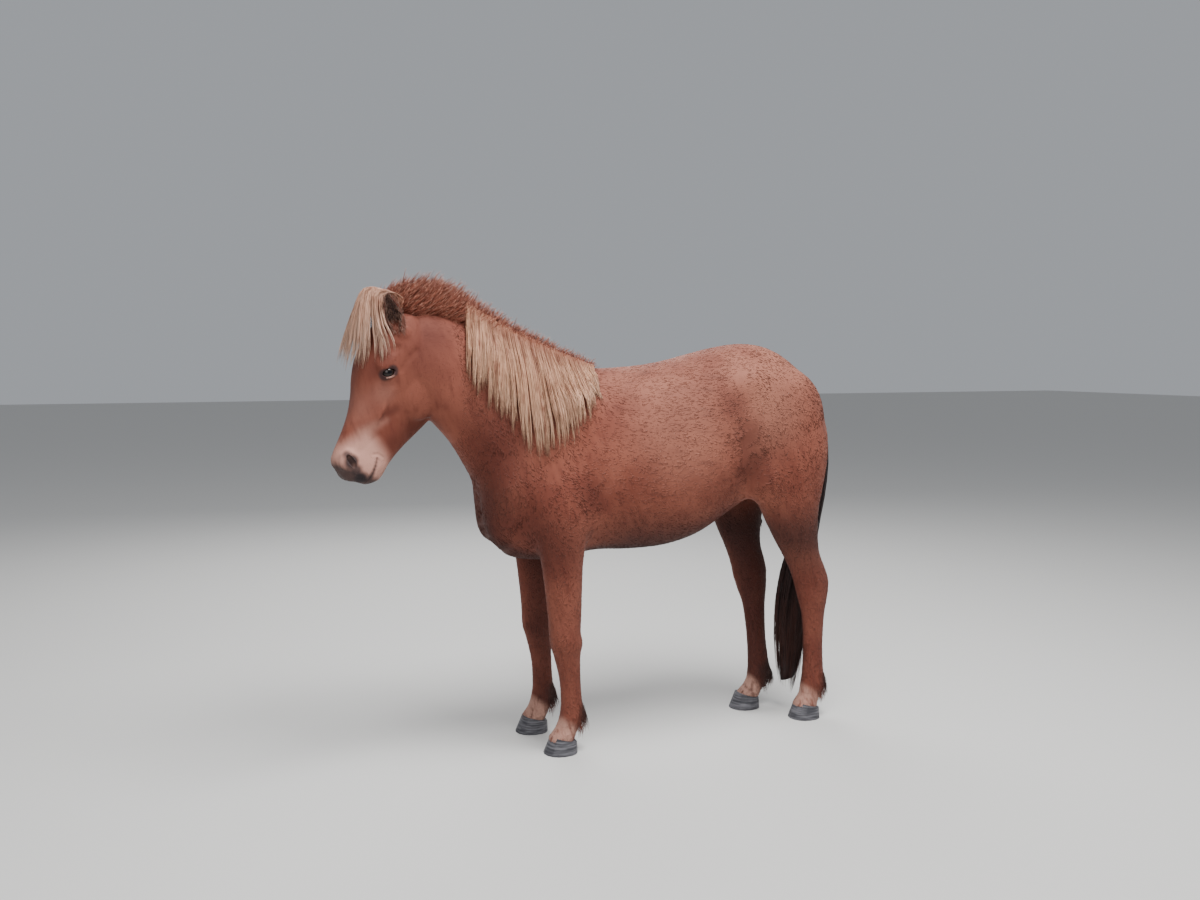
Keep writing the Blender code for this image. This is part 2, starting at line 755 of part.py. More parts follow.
def is_closed(bm):
    return all(edge.is_manifold for edge in bm.edges) and all(vert.is_manifold for vert in bm.verts)


def without_slivers(bm):
    """bm with its shortest edges closed up, if it stays a closed surface; or else bm as it was."""
    tidy = bm.copy()
    bmesh.ops.dissolve_degenerate(tidy, dist=SHORTEST_EDGE, edges=tidy.edges)
    cut_to_triangles(tidy)
    keep, leave = (tidy, bm) if is_closed(tidy) else (bm, tidy)
    leave.free()
    return keep


def largest_shell(obj):
    """Keep the largest closed surface of obj, in triangles."""
    bm = bmesh.new()
    bm.from_mesh(obj.data)
    cut_to_triangles(bm)
    bm = without_slivers(bm)
    shells = connected(bm.faces, beside)
    shells.sort(key=lambda shell: sum(face.calc_area() for face in shell))
    for shell in shells[:-1]:
        bmesh.ops.delete(bm, geom=shell, context="FACES")
    loose = [v for v in bm.verts if not v.link_faces]
    bmesh.ops.delete(bm, geom=loose, context="VERTS")
    bm.to_mesh(obj.data)
    bm.free()
    return obj


def split_off(body, name, region, enlarged):
    """Take what region holds off body, leaving the gap, as a new object."""
    piece = combine(copy_of(body, name), region, "INTERSECT")
    combine(body, enlarged, "DIFFERENCE")
    largest_shell(body)
    return largest_shell(piece)


def split_by_plane(body, name, plane):
    (x, z), (toward_x, toward_z) = plane
    toward = Vector((toward_x, 0, toward_z)).normalized()
    point = Vector((x, 0, z))
    return split_off(body, name, half_space(point, toward), half_space(point - toward * GAP, toward))


def leg_region(outline, stance, margin):
    """The block round one leg, from just off the middle out past its side."""
    middle = Vector((sum(x for x, z in outline), sum(z for x, z in outline))) / len(outline)
    points = []
    for x, z in outline:
        out = Vector((x, z)) - middle
        grown_out = middle + out * (1 + margin / out.length)
        points.append((grown_out.x - np.interp(z, stance["heights"], stance["forward"]), grown_out.y))
    inner = 0.060 if outline is FORELEG_CUT else 0.030
    block = prism("leg_region", points, inner - margin, 0.5)
    turn = Matrix(((1, 0, 0, 0), (0, 0, stance["side"], 0), (0, 1, 0, 0), (0, 0, 0, 1)))
    block.data.transform(turn)
    if turn.determinant() < 0:
        block.data.flip_normals()
    return block


def coronet_plane(name):
    up = Vector((CORONET_SLOPE, 0, 1)).normalized()
    return Vector((HOOF_MIDDLE[name], 0, CORONET_HEIGHT)), up


def hoof_form(name, stance):
    rings = []
    section = stance["section"]
    out = section[-1][4] - stance["inward"]
    for height, ahead, behind, width in smooth_stations(HOOF, 2):
        middle = Vector((HOOF_MIDDLE[name] + (ahead + behind) / 2, stance["side"] * out, height))
        reach = (behind - ahead) / 2
        rings.append(
            section_ring(middle, FORWARD, ACROSS, reach, reach, width, 2.0, HEEL_ROUND, 16)
        )
    hoof = loft(f"hoof_{name}", rings)
    point, up = coronet_plane(name)
    combine(hoof, half_space(point - up * GAP, -up), "INTERSECT")
    return largest_shell(hoof)


def eye_place(side):
    return frame_at(
        head_point(*mirrored(EYE, side)),
        head_direction(mirrored(EYE_SLANT, side)),
        head_direction(mirrored(EYE_OUTWARD, side)),
    )


def ball(name, place, radius, across=14, along=9):
    bm = bmesh.new()
    bmesh.ops.create_uvsphere(bm, u_segments=across, v_segments=along, radius=radius)
    bmesh.ops.transform(bm, matrix=place, verts=bm.verts)
    mesh = bpy.data.meshes.new(name)
    bm.to_mesh(mesh)
    bm.free()
    return add_object(name, mesh)


def lid_opening(side):
    """An almond outline, drawn out from inside the eyeball."""
    half_length, half_height = EYE_OPENING
    outline = []
    for k in range(14):
        angle = 2 * math.pi * k / 14
        c, s = math.cos(angle), math.sin(angle)
        outline.append((half_length * c, half_height * power(s, 1.25) * (1 + 0.1 * c)))
    opening = prism("lid_opening", outline, 0.009, 0.05)
    opening.data.transform(eye_place(side))
    return opening


def nostril_cutter(side):
    cutter = ellipsoid("nostril", (0, 0, 0), NOSTRIL_REACHES)
    cutter.data.transform(
        frame_at(
            head_point(*mirrored(NOSTRIL, side)),
            head_direction(NOSTRIL_SLANT),
            head_direction(mirrored((0.1, 0.3, 0.9), side)),
        )
    )
    return cutter


def mouth_cutter():
    """A thin blade that follows the lips round from one corner of the mouth to the other."""
    right = [mirrored(point, -1) for point in MOUTH[:-1]]
    line = [head_point(*point) for point in smooth_stations((*MOUTH, *right[::-1]), 3)]
    rings = []
    for k, point in enumerate(line):
        ahead = line[min(k + 1, len(line) - 1)]
        behind = line[max(k - 1, 0)]
        across = head_axes()[1]
        outward = (ahead - behind).cross(across).normalized()
        if outward.dot(point - head_point(0.46, -0.07)) < 0:
            outward = -outward
        inner = point - outward * MOUTH_DEPTH
        outer = point + outward * 0.02
        step = across * (MOUTH_WIDTH / 2)
        rings.append([inner - step, outer - step, outer + step, inner + step])
    return loft("mouth", rings)


def carve_face(head):
    for side in (-1, 1):
        combine(head, ball("lids", eye_place(side), EYE_RADIUS + LID_THICKNESS), "UNION")
        combine(head, lid_opening(side), "DIFFERENCE")
        combine(head, ball("socket", eye_place(side), EYE_RADIUS + GAP), "DIFFERENCE")
        combine(head, nostril_cutter(side), "DIFFERENCE")
    combine(head, mouth_cutter(), "DIFFERENCE")
    return largest_shell(head)


def ear_section(middle, opens, wide, half_width, half_depth, gape, fill):
    """The curl of an ear cut across: round its back, and back again inside its wall."""
    outer = []
    inner = []
    for k in range(EAR_POINTS):
        angle = gape + (2 * math.pi - 2 * gape) * k / (EAR_POINTS - 1)
        direction = opens * (half_depth * math.cos(angle)) + wide * (half_width * math.sin(angle))
        wall = min(EAR_WALL / half_depth, 0.5)
        outer.append(middle + direction)
        if 0 < k < EAR_POINTS - 1:
            inner.append(middle + direction * ((1 - wall) * (1 - fill)) + opens * (half_depth * 0.15))
    return outer + inner[::-1]


def ear_form(name, side):
    root = head_point(*mirrored(EAR_ROOT, side))
    tip = head_point(*mirrored(EAR_TIP, side))
    axis = tip - root
    opens = head_direction(mirrored(EAR_OPENS, side))
    opens = (opens - axis * opens.dot(axis) / axis.length_squared).normalized()
    wide = axis.cross(opens).normalized()
    rings = []
    for up, half_width, half_depth in smooth_stations(EAR, 2):
        middle = root + axis * up - opens * (EAR_BOW * math.sin(math.pi * max(up, 0)))
        gape = EAR_ROOT_GAPE + (EAR_GAPE - EAR_ROOT_GAPE) * between(up, 0.15, 0.75)
        fill = 0.7 * (1 - between(up, 0.20, 0.50))
        rings.append(ear_section(middle, opens, wide, half_width, half_depth, gape, fill))
    return loft(name, rings)


def crest_height(x):
    xs = [row[0] for row in NECK]
    return float(np.interp(-x, [-v for v in xs], [row[1] for row in NECK]))


def crest_bend(x):
    return float(np.interp(-x, [-row[0] for row in NECK], [row[5] for row in NECK]))


def evenly(points, count):
    """count points at equal steps along a smooth curve through the given ones."""
    fine = np.array(smooth_stations(points, 8))
    steps = np.linalg.norm(np.diff(fine, axis=0), axis=1)
    along = np.concatenate(([0.0], np.cumsum(steps)))
    where = np.linspace(0, along[-1], count)
    return [Vector([np.interp(w, along, fine[:, k]) for k in range(3)]) for w in where]


def lock(points, across, width, thickness, rings=6):
    """A flat lock of hair along points, spread along across: widest near its top and drawn to a tip."""
    line = evenly(points, rings)
    made = []
    for k, point in enumerate(line):
        t = k / (rings - 1)
        run = (line[min(k + 1, rings - 1)] - line[max(k - 1, 0)]).normalized()
        side = (across - run * across.dot(run)).normalized()
        face = side.cross(run)
        swell = (0.6 + 2.0 * t) if t < 0.2 else (1.0 - 0.92 * (max(t - 0.4, 0) / 0.6) ** 1.6)
        half_width = width / 2 * swell
        half_thickness = thickness / 2 * (1.0 - 0.75 * t * t)
        made.append(
            [point + side * half_width, point + face * half_thickness,
             point - side * half_width, point - face * half_thickness]
        )
    return loft("lock", made)


def crest_top(surface, x):
    """The skin on the crest of the neck at x."""
    return surface.ray_cast(Vector((x, crest_bend(x), crest_height(x) + 0.3)), Vector((0, 0, -1)))[0]


def crest_rise(x):
    rows = np.array(CREST_ROLL)
    return float(np.interp(x, rows[:, 0], rows[:, 1]))


def crest_roll(surface):
    """The hair that stands along the crest, as one rounded ridge."""
    rows = smooth_stations(CREST_ROLL, 2)
    tops = []
    for x, rise, half_width in rows:
        tops.append(crest_top(surface, min(max(x, -0.80), -0.10)) + Vector((0, 0, rise * 0.30)))
    rings = []
    for k, (row, top) in enumerate(zip(rows, tops)):
        x, rise, half_width = row
        middle = Vector((x, top.y, top.z))
        run = (tops[min(k + 1, len(tops) - 1)] - tops[max(k - 1, 0)]) + Vector((0.001, 0, 0))
        up = Vector((-run.z, 0, run.x)).normalized()
        rings.append(section_ring(middle, up, ACROSS, rise * 0.70, 0.030, half_width, 1.9, 2.0, 10))
    return loft("crest_roll", rings)


def hanging_line(surface, x, side, length, drift, stand_off, count=7):
    """Points from inside the roll on the crest, over its shoulder and down one side of the neck."""
    top = crest_top(surface, x)
    rise = crest_rise(x)
    line = [
        top + Vector((0, -side * 0.004, rise * 0.25)),
        top + Vector((0, side * 0.006, rise * 0.80)),
        top + Vector((drift * 0.03, side * 0.026, rise * 0.86)),
    ]
    furthest = 0.040
    for k in range(1, count):
        t = k / (count - 1)
        here = Vector((x + drift * t, top.y + side, top.z + rise * 0.8 - 0.012 - length * t))
        hit = surface.ray_cast(here, Vector((0, -side, 0)), 1.0)[0]
        if hit:
            furthest = max(furthest, abs(hit.y - top.y) + stand_off)
        line.append(Vector((here.x, top.y + side * furthest, here.z)))
    return line


def mane_locks(surface, mane, draw):
    stations = np.array(mane["stations"])
    side = mane["side"]
    first, last = stations[0, 0], stations[-1, 0]
    for k in range(mane["count"]):
        x = first + (last - first) * (k + draw.uniform(-0.25, 0.25)) / (mane["count"] - 1)
        length, drift = (float(np.interp(x, stations[:, 0], stations[:, c])) for c in (1, 2))
        layer = k % 2
        line = hanging_line(
            surface,
            x,
            side,
            length * draw.uniform(0.84, 1.06) * (1 - 0.10 * layer),
            drift * draw.uniform(0.8, 1.2) + draw.uniform(-0.008, 0.008),
            LOCK_STAND_OFF + LOCK_LAYER_STEP * layer,
        )
        crest_run = crest_top(surface, x + 0.02) - crest_top(surface, x - 0.02)
        width = mane["width"] * draw.uniform(0.85, 1.15)
        yield lock(line, crest_run, width, LOCK_THICKNESS, 6 if length > 0.15 else 5)


def forelock_locks(draw):
    ends = np.array(FORELOCK_ENDS)
    down_face, front, left = head_axes()
    for k in range(FORELOCK_COUNT):
        fan = -1 + 2 * (k + draw.uniform(-0.25, 0.25)) / (FORELOCK_COUNT - 1)
        along, out, beside = (float(np.interp(fan, ends[:, 0], ends[:, c])) for c in (1, 2, 3))
        along *= draw.uniform(0.88, 1.06)
        lift = 0.008 * (k % 2)
        root_side = 0.026 * fan
        line = [head_point(*FORELOCK_ROOT, root_side * 0.8)]
        for arch_along, arch_out in FORELOCK_ARCH:
            line.append(head_point(arch_along, arch_out + lift - 0.030 * fan * fan, root_side * 1.3))
        brow_out = max(out, 0.03) * 0.55 + 0.045 + lift - 0.026 * fan * fan
        line.append(head_point(along * 0.42, brow_out, beside * 0.66))
        line.append(head_point(along * 0.75, out * 0.9 + 0.012 + lift, beside * 0.92))
        line.append(head_point(along, out + lift, beside))
        across = left - front * (fan * 0.9)
        width = FORELOCK_WIDTH * draw.uniform(0.85, 1.15)
        yield lock(line, across, width, FORELOCK_THICKNESS, FORELOCK_RINGS)


def tail_point(height_share, around, spread):
    """A point down the tail, set off to the side of its middle line."""
    rows = np.array(TAIL)
    place = height_share * (len(rows) - 1)
    x, y, z, half_width, half_depth = (np.interp(place, range(len(rows)), column) for column in rows.T)
    return Vector((x + math.sin(around) * half_depth * spread, y + math.cos(around) * half_width * spread, z))


def tail_locks(draw):
    for k in range(TAIL_LOCKS):
        around = 2 * math.pi * (k + draw.uniform(-0.2, 0.2)) / TAIL_LOCKS
        start = 0.14 + 0.22 * ((k * 7) % TAIL_LOCKS) / TAIL_LOCKS
        end = draw.uniform(0.86, 1.0)
        shares = np.linspace(start, end, 6)
        spreads = (0.15, 0.78, 0.86, 0.88, 0.92, 0.95)
        line = [tail_point(share, around + 0.25 * share, spread) for share, spread in zip(shares, spreads)]
        across = Vector((math.cos(around), -math.sin(around), 0))
        yield lock(line, across, TAIL_LOCK_WIDTH * draw.uniform(0.85, 1.1), TAIL_LOCK_THICKNESS, 7)


def feather_locks(name, stance, draw):
    """Longer hair behind the fetlock."""
    section = stance["section"]
    heights = [row[0] for row in section][::-1]
    forward = np.interp(0.12, stance["heights"], stance["forward"])
    behind = np.interp(0.12, heights, [row[2] for row in section][::-1]) - forward
    out = stance["side"] * (np.interp(0.12, heights, [row[4] for row in section][::-1]) - stance["inward"])
    for k in range(FEATHER_LOCKS):
        across = 0.017 * (2 * k / (FEATHER_LOCKS - 1) - 1)
        drop = draw.uniform(0.048, 0.060)
        line = [
            Vector((behind - 0.020, out + across * 0.7, 0.140)),
            Vector((behind - 0.004, out + across, 0.122)),
            Vector((behind + 0.006, out + across, 0.116 - drop * 0.5)),
            Vector((behind + 0.002, out + across * 0.9, 0.116 - drop)),
        ]
        yield lock(line, ACROSS, FEATHER_WIDTH, FEATHER_THICKNESS, 4)


def fused(pieces):
    """One closed body from many that overlap."""
    base, *others = pieces
    joined_in = bpy.data.collections.new("fused")
    bpy.context.scene.collection.children.link(joined_in)
    for obj in others:
        bpy.context.scene.collection.objects.unlink(obj)
        joined_in.objects.link(obj)
    union = base.modifiers.new("fuse", "BOOLEAN")
    union.operation = "UNION"
    union.solver = "MANIFOLD"
    union.operand_type = "COLLECTION"
    union.collection = joined_in
    bake_modifiers(base)
    for obj in others:
        bpy.data.objects.remove(obj)
    bpy.data.collections.remove(joined_in)
    return base


def thinned(obj):
    """The same form in triangles, without the near-flat creases that can go while it stays closed."""
    for crease in FLAT_CREASES:
        bm = bmesh.new()
        bm.from_mesh(obj.data)
        bmesh.ops.dissolve_limit(bm, angle_limit=math.radians(crease), verts=bm.verts, edges=bm.edges)
        cut_to_triangles(bm)
        closed = is_closed(bm)
        if closed:
            bm.to_mesh(obj.data)
        bm.free()
        if closed:
            break
    return obj


def tail_form():
    rings = []
    for x, y, z, half_width, half_depth in TAIL[:-1]:
        rings.append(
            section_ring(
                Vector((x, y, z)), TAIL_SECTION_UP, ACROSS,
                half_depth * 0.9, half_depth * 0.9, half_width * 0.9, 2, 2, 10,
            )
        )
    return loft("tail", rings)


def finish(obj, name, color, roughness):
    material = bpy.data.materials.new(name)
    material.use_nodes = True
    shader = material.node_tree.nodes["Principled BSDF"]
    shader.inputs["Base Color"].default_value = (*color, 1)
    shader.inputs["Roughness"].default_value = roughness
    obj.data.materials.clear()
    obj.data.materials.append(material)
    obj.data.shade_smooth()
    obj.data.set_sharp_from_angle(angle=math.radians(SHARPEST_ROUND))
    obj.name = name
    obj.data.name = name


def gather(pieces, name):
    collection = bpy.data.collections.new(name)
    bpy.context.scene.collection.children.link(collection)
    for piece in pieces:
        bpy.context.scene.collection.objects.unlink(piece)
        collection.objects.link(piece)


def centre_on_floor(pieces):
    """Put the origin under the middle of all the pieces together."""
    corners = np.array([corner for piece in pieces for corner in piece.bound_box])
    low, high = corners.min(axis=0), corners.max(axis=0)
    middle = Vector((*((low + high) / 2)[:2], 0))
    for piece in pieces:
        piece.data.transform(Matrix.Translation(-middle))


def main():
    for obj in list(bpy.data.objects):
        bpy.data.objects.remove(obj)

    torso = flesh_form()
    surface = BVHTree.FromObject(torso, bpy.context.evaluated_depsgraph_get())
    legs = {}
    for name, stance in STANCE.items():
        outline = FORELEG_CUT if stance["section"] is FORELEG else HINDLEG_CUT
        leg = split_off(
            torso, f"leg_{name}", leg_region(outline, stance, 0), leg_region(outline, stance, GAP)
        )
        combine(leg, half_space(*coronet_plane(name)), "INTERSECT")
        legs[name] = largest_shell(leg)
    neck = split_by_plane(torso, "neck", NECK_CUT)
    head = split_by_plane(neck, "head", HEAD_CUT)
    carve_face(head)

    sides = {"left": 1, "right": -1}
    eyes = {name: ball(f"eye_{name}", eye_place(side), EYE_RADIUS) for name, side in sides.items()}
    ears = {}
    for name, side in sides.items():
        ears[name] = largest_shell(clear_of(ear_form(f"ear_{name}", side), head))
    hooves = {name: hoof_form(name, stance) for name, stance in STANCE.items()}

    draw = random.Random(7)
    near = mane_locks(surface, MANE_NEAR, draw)
    far = mane_locks(surface, MANE_FAR, draw)
    mane_parts = [crest_roll(surface), *near, *far]
    mane = clear_of(thinned(fused(mane_parts)), torso, head, *ears.values(), *legs.values())
    largest_shell(fused([neck, mane]))
    forelock = thinned(fused([*forelock_locks(draw)]))
    clear_of(forelock, neck, *ears.values(), *eyes.values())
    largest_shell(fused([head, forelock]))
    tail = thinned(fused([tail_form(), *tail_locks(draw)]))
    clear_of(tail, torso, *legs.values())
    largest_shell(tail)
    for name, stance in STANCE.items():
        feather = clear_of(fused([*feather_locks(name, stance, draw)]), hooves[name])
        largest_shell(fused([legs[name], feather]))

    for name, obj in (("torso", torso), ("neck", neck), ("head", head)):
        finish(obj, name, COAT_COLOR, 0.7)
    finish(tail, "tail", TAIL_COLOR, 0.6)
    for name in STANCE:
        finish(legs[name], f"leg_{name}", COAT_COLOR, 0.7)
        finish(hooves[name], f"hoof_{name}", HOOF_COLOR, 0.5)
    for name in sides:
        finish(ears[name], f"ear_{name}", COAT_COLOR, 0.75)
        finish(eyes[name], f"eye_{name}", EYE_COLOR, 0.1)

    pieces = [torso, neck, head, tail, *legs.values(), *hooves.values(), *ears.values(), *eyes.values()]
    gather(pieces, "icelandic_horse")
    centre_on_floor(pieces)


main()
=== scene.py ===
import json
import math

import bpy
import numpy as np
from mathutils import Matrix, Vector
from mathutils.bvhtree import BVHTree

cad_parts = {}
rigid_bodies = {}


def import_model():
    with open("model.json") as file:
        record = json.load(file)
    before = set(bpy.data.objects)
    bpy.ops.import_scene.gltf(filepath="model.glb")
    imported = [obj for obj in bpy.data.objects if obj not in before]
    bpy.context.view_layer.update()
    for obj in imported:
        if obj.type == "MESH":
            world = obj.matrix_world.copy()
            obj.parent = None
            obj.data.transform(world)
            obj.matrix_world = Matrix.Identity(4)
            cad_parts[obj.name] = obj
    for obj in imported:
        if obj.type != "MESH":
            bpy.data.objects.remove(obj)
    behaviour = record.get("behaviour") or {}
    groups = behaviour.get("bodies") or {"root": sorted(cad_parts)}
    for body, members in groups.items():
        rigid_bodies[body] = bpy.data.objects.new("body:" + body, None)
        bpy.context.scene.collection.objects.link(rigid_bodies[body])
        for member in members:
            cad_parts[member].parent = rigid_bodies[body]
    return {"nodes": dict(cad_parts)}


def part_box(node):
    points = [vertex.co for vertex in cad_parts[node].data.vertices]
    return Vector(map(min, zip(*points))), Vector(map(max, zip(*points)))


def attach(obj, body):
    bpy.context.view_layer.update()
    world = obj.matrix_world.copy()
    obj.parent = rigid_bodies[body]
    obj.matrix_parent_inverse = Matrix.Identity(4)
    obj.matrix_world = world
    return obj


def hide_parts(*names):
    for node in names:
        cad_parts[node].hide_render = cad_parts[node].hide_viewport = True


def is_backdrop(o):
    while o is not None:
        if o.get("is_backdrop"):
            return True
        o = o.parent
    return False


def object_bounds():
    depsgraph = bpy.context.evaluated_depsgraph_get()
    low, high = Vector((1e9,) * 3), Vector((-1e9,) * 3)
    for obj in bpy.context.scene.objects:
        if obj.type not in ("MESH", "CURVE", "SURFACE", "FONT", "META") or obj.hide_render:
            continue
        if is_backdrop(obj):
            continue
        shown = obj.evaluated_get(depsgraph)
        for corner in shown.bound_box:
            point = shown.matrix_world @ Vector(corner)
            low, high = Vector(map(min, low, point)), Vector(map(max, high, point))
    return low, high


for obj in list(bpy.data.objects):
    bpy.data.objects.remove(obj)
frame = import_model()
cadLow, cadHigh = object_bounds()
bpy.ops.object.select_all(action="DESELECT")
draw = np.random.default_rng(11)  # the one source of chance, always the same

# The tables below are in the horse's own frame. The near fore hoof says where that lies in the row's frame.
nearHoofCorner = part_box("hoof_fore_left")[0]
shift = np.array((nearHoofCorner.x + 0.362, nearHoofCorner.y + 0.177, 0.0))


# Small helpers


def rise(value, low, high):
    t = np.clip((value - low) / (high - low), 0, 1)
    return t * t * (3 - 2 * t)


def unit(vectors):
    return vectors / np.maximum(np.linalg.norm(vectors, axis=-1, keepdims=True), 1e-9)


def fair(rows, steps=5):  # more rows between the given ones, on a smooth curve through them
    rows = np.array(rows, float)
    padded = np.vstack([2 * rows[0] - rows[1], rows, 2 * rows[-1] - rows[-2]])
    made = []
    for k in range(1, len(padded) - 2):
        before, here, there, after = padded[k - 1 : k + 3]
        for t in np.arange(steps) / steps:
            bend = 2 * before - 5 * here + 4 * there - after
            turn = 3 * here - before - 3 * there + after
            made.append(0.5 * (2 * here + (there - before) * t + bend * t * t + turn * t**3))
    made.append(rows[-1])
    return np.array(made)


def evenly(points, count):  # count points at equal steps along the curve through points
    fine = fair(points, 8)
    along = np.concatenate(([0], np.cumsum(np.linalg.norm(np.diff(fine, axis=0), axis=1))))
    where = np.linspace(0, along[-1], count)
    return np.stack([np.interp(where, along, fine[:, k]) for k in range(3)], axis=1)


def wander(points, size, seed):  # a smooth field between about -1 and 1, one bump every size metres
    lot = np.random.default_rng(seed)
    total = np.zeros(len(points))
    for k in range(7):
        way = unit(lot.normal(size=3)) * (2 * math.pi / size) * lot.uniform(0.6, 1.5)
        total += np.sin(points @ way + lot.uniform(0, 2 * math.pi))
    return total / 3.2


def meshObject(name, verts, faces):
    mesh = bpy.data.meshes.new(name)
    mesh.from_pydata([tuple(v) for v in verts], [], faces)
    obj = bpy.data.objects.new(name, mesh)
    bpy.context.scene.collection.objects.link(obj)
    return obj


def pick(obj):  # make obj the one selected and active object
    bpy.ops.object.select_all(action="DESELECT")
    obj.select_set(True)
    bpy.context.view_layer.objects.active = obj


def edited(obj, *steps):  # run mesh operators on all of obj in edit mode
    pick(obj)
    bpy.ops.object.mode_set(mode="EDIT")
    bpy.ops.mesh.select_all(action="SELECT")
    for step in steps:
        step()
    bpy.ops.object.mode_set(mode="OBJECT")


def ring(middle, up, side, above, below, halfWidth, aboveRound=2.0, belowRound=2.0, count=48):
    angle = np.arange(count) * 2 * math.pi / count
    c, s = np.cos(angle), np.sin(angle)
    reach = np.where(c >= 0, above, below)
    roundness = np.where(c >= 0, aboveRound, belowRound)
    high = reach * np.sign(c) * np.abs(c) ** (2 / roundness)
    wide = halfWidth * np.sign(s) * np.abs(s) ** (2 / roundness)
    return np.array(middle) + np.outer(high, up) + np.outer(wide, side)


def loft(name, rings):
    count = len(rings[0])
    faces = [list(range(count))[::-1], [(len(rings) - 1) * count + k for k in range(count)]]
    for r in range(len(rings) - 1):
        for k in range(count):
            n = (k + 1) % count
            faces.append([r * count + k, r * count + n, (r + 1) * count + n, (r + 1) * count + k])
    obj = meshObject(name, np.concatenate(rings), faces)
    outward(obj)
    return obj


def outward(obj):
    edited(obj, bpy.ops.mesh.normals_make_consistent)


def roundForm(name, place, segments=28, rings=16):  # a ball of radius 1 set and stretched by place
    bpy.ops.mesh.primitive_uv_sphere_add(segments=segments, ring_count=rings, radius=1)
    obj = bpy.context.object
    obj.name = name
    obj.data.transform(place)
    if place.determinant() < 0:
        obj.data.flip_normals()
    return obj


def applied(obj, kind, **settings):
    pick(obj)
    modifier = obj.modifiers.new(kind, kind)
    for key, value in settings.items():
        setattr(modifier, key, value)
    bpy.ops.object.modifier_apply(modifier=modifier.name)
    return obj


def cut(obj, other, operation="DIFFERENCE"):
    applied(obj, "BOOLEAN", operation=operation, solver="EXACT", object=other)
    bpy.data.objects.remove(other)
    return obj


def places(obj):
    co = np.empty(len(obj.data.vertices) * 3)
    obj.data.vertices.foreach_get("co", co)
    return co.reshape(-1, 3)


def normals(obj):
    n = np.empty(len(obj.data.vertices) * 3)
    obj.data.vertex_normals.foreach_get("vector", n)
    return n.reshape(-1, 3)


def movePoints(obj, co):
    obj.data.vertices.foreach_set("co", co.ravel())
    obj.data.update()


def triangles(obj):
    return sum(len(face.vertices) - 2 for face in obj.data.polygons)


def mirrorLeft(points):  # the same points, with those on the far side brought over to the near one
    near = points.copy()
    near[:, 1] = -np.abs(near[:, 1])
    return near


def weighted(obj, name, weights):
    group = obj.vertex_groups.new(name=name)
    levels = 20
    steps = np.round(weights * levels).astype(int)
    for step in range(1, levels + 1):
        group.add([int(k) for k in np.nonzero(steps == step)[0]], step / levels, "REPLACE")
    return group.name


def done(obj, material, slot, *nodes):  # move a finished piece to the row's frame and tell the frame of it
    obj.data.transform(Matrix.Translation(shift))
    obj.data.materials.clear()
    obj.data.materials.append(material)
    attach(obj, "root")
    if nodes:
        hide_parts(*nodes)
    return obj


# The horse's build

trunk = {  # along X: place, top, bottom, half width, widest level, upper and lower roundness
    "stations": (
        (-0.550, 0.975, 0.780, 0.075, 0.880, 2.0, 2.0),
        (-0.520, 1.050, 0.700, 0.135, 0.870, 2.0, 2.0),
        (-0.460, 1.140, 0.636, 0.175, 0.860, 2.0, 2.0),
        (-0.370, 1.200, 0.612, 0.195, 0.860, 1.9, 2.1),
        (-0.260, 1.240, 0.618, 0.203, 0.870, 1.8, 2.1),
        (-0.150, 1.253, 0.632, 0.215, 0.890, 1.7, 2.1),
        (-0.030, 1.257, 0.628, 0.236, 0.900, 1.9, 2.1),
        (0.090, 1.272, 0.634, 0.245, 0.910, 2.1, 2.1),
        (0.200, 1.298, 0.662, 0.245, 0.940, 2.2, 2.1),
        (0.300, 1.322, 0.712, 0.232, 0.990, 2.2, 2.0),
        (0.400, 1.335, 0.770, 0.225, 1.060, 2.1, 2.0),
        (0.490, 1.323, 0.790, 0.222, 1.070, 2.0, 2.0),
        (0.570, 1.280, 0.800, 0.205, 1.040, 2.0, 2.0),
        (0.640, 1.212, 0.820, 0.165, 1.000, 2.0, 2.0),
        (0.690, 1.135, 0.850, 0.115, 0.980, 2.0, 2.0),
        (0.715, 1.070, 0.890, 0.060, 0.970, 2.0, 2.0),
    ),
}
neck = {  # crest x and z, throat x and z, half width, sideways bend
    "above": 0.58,  # share of the height over the widest level, and under it
    "below": 0.42,
    "crestRound": 1.75,
    "stations": (
        (-0.080, 1.235, -0.280, 0.730, 0.130, 0.000),
        (-0.190, 1.262, -0.420, 0.745, 0.160, 0.000),
        (-0.310, 1.303, -0.505, 0.800, 0.162, 0.000),
        (-0.420, 1.345, -0.566, 0.876, 0.142, -0.004),
        (-0.520, 1.384, -0.602, 0.944, 0.120, -0.012),
        (-0.620, 1.412, -0.638, 1.004, 0.104, -0.024),
        (-0.720, 1.424, -0.682, 1.058, 0.092, -0.040),
        (-0.790, 1.412, -0.740, 1.120, 0.078, -0.054),
    ),
}
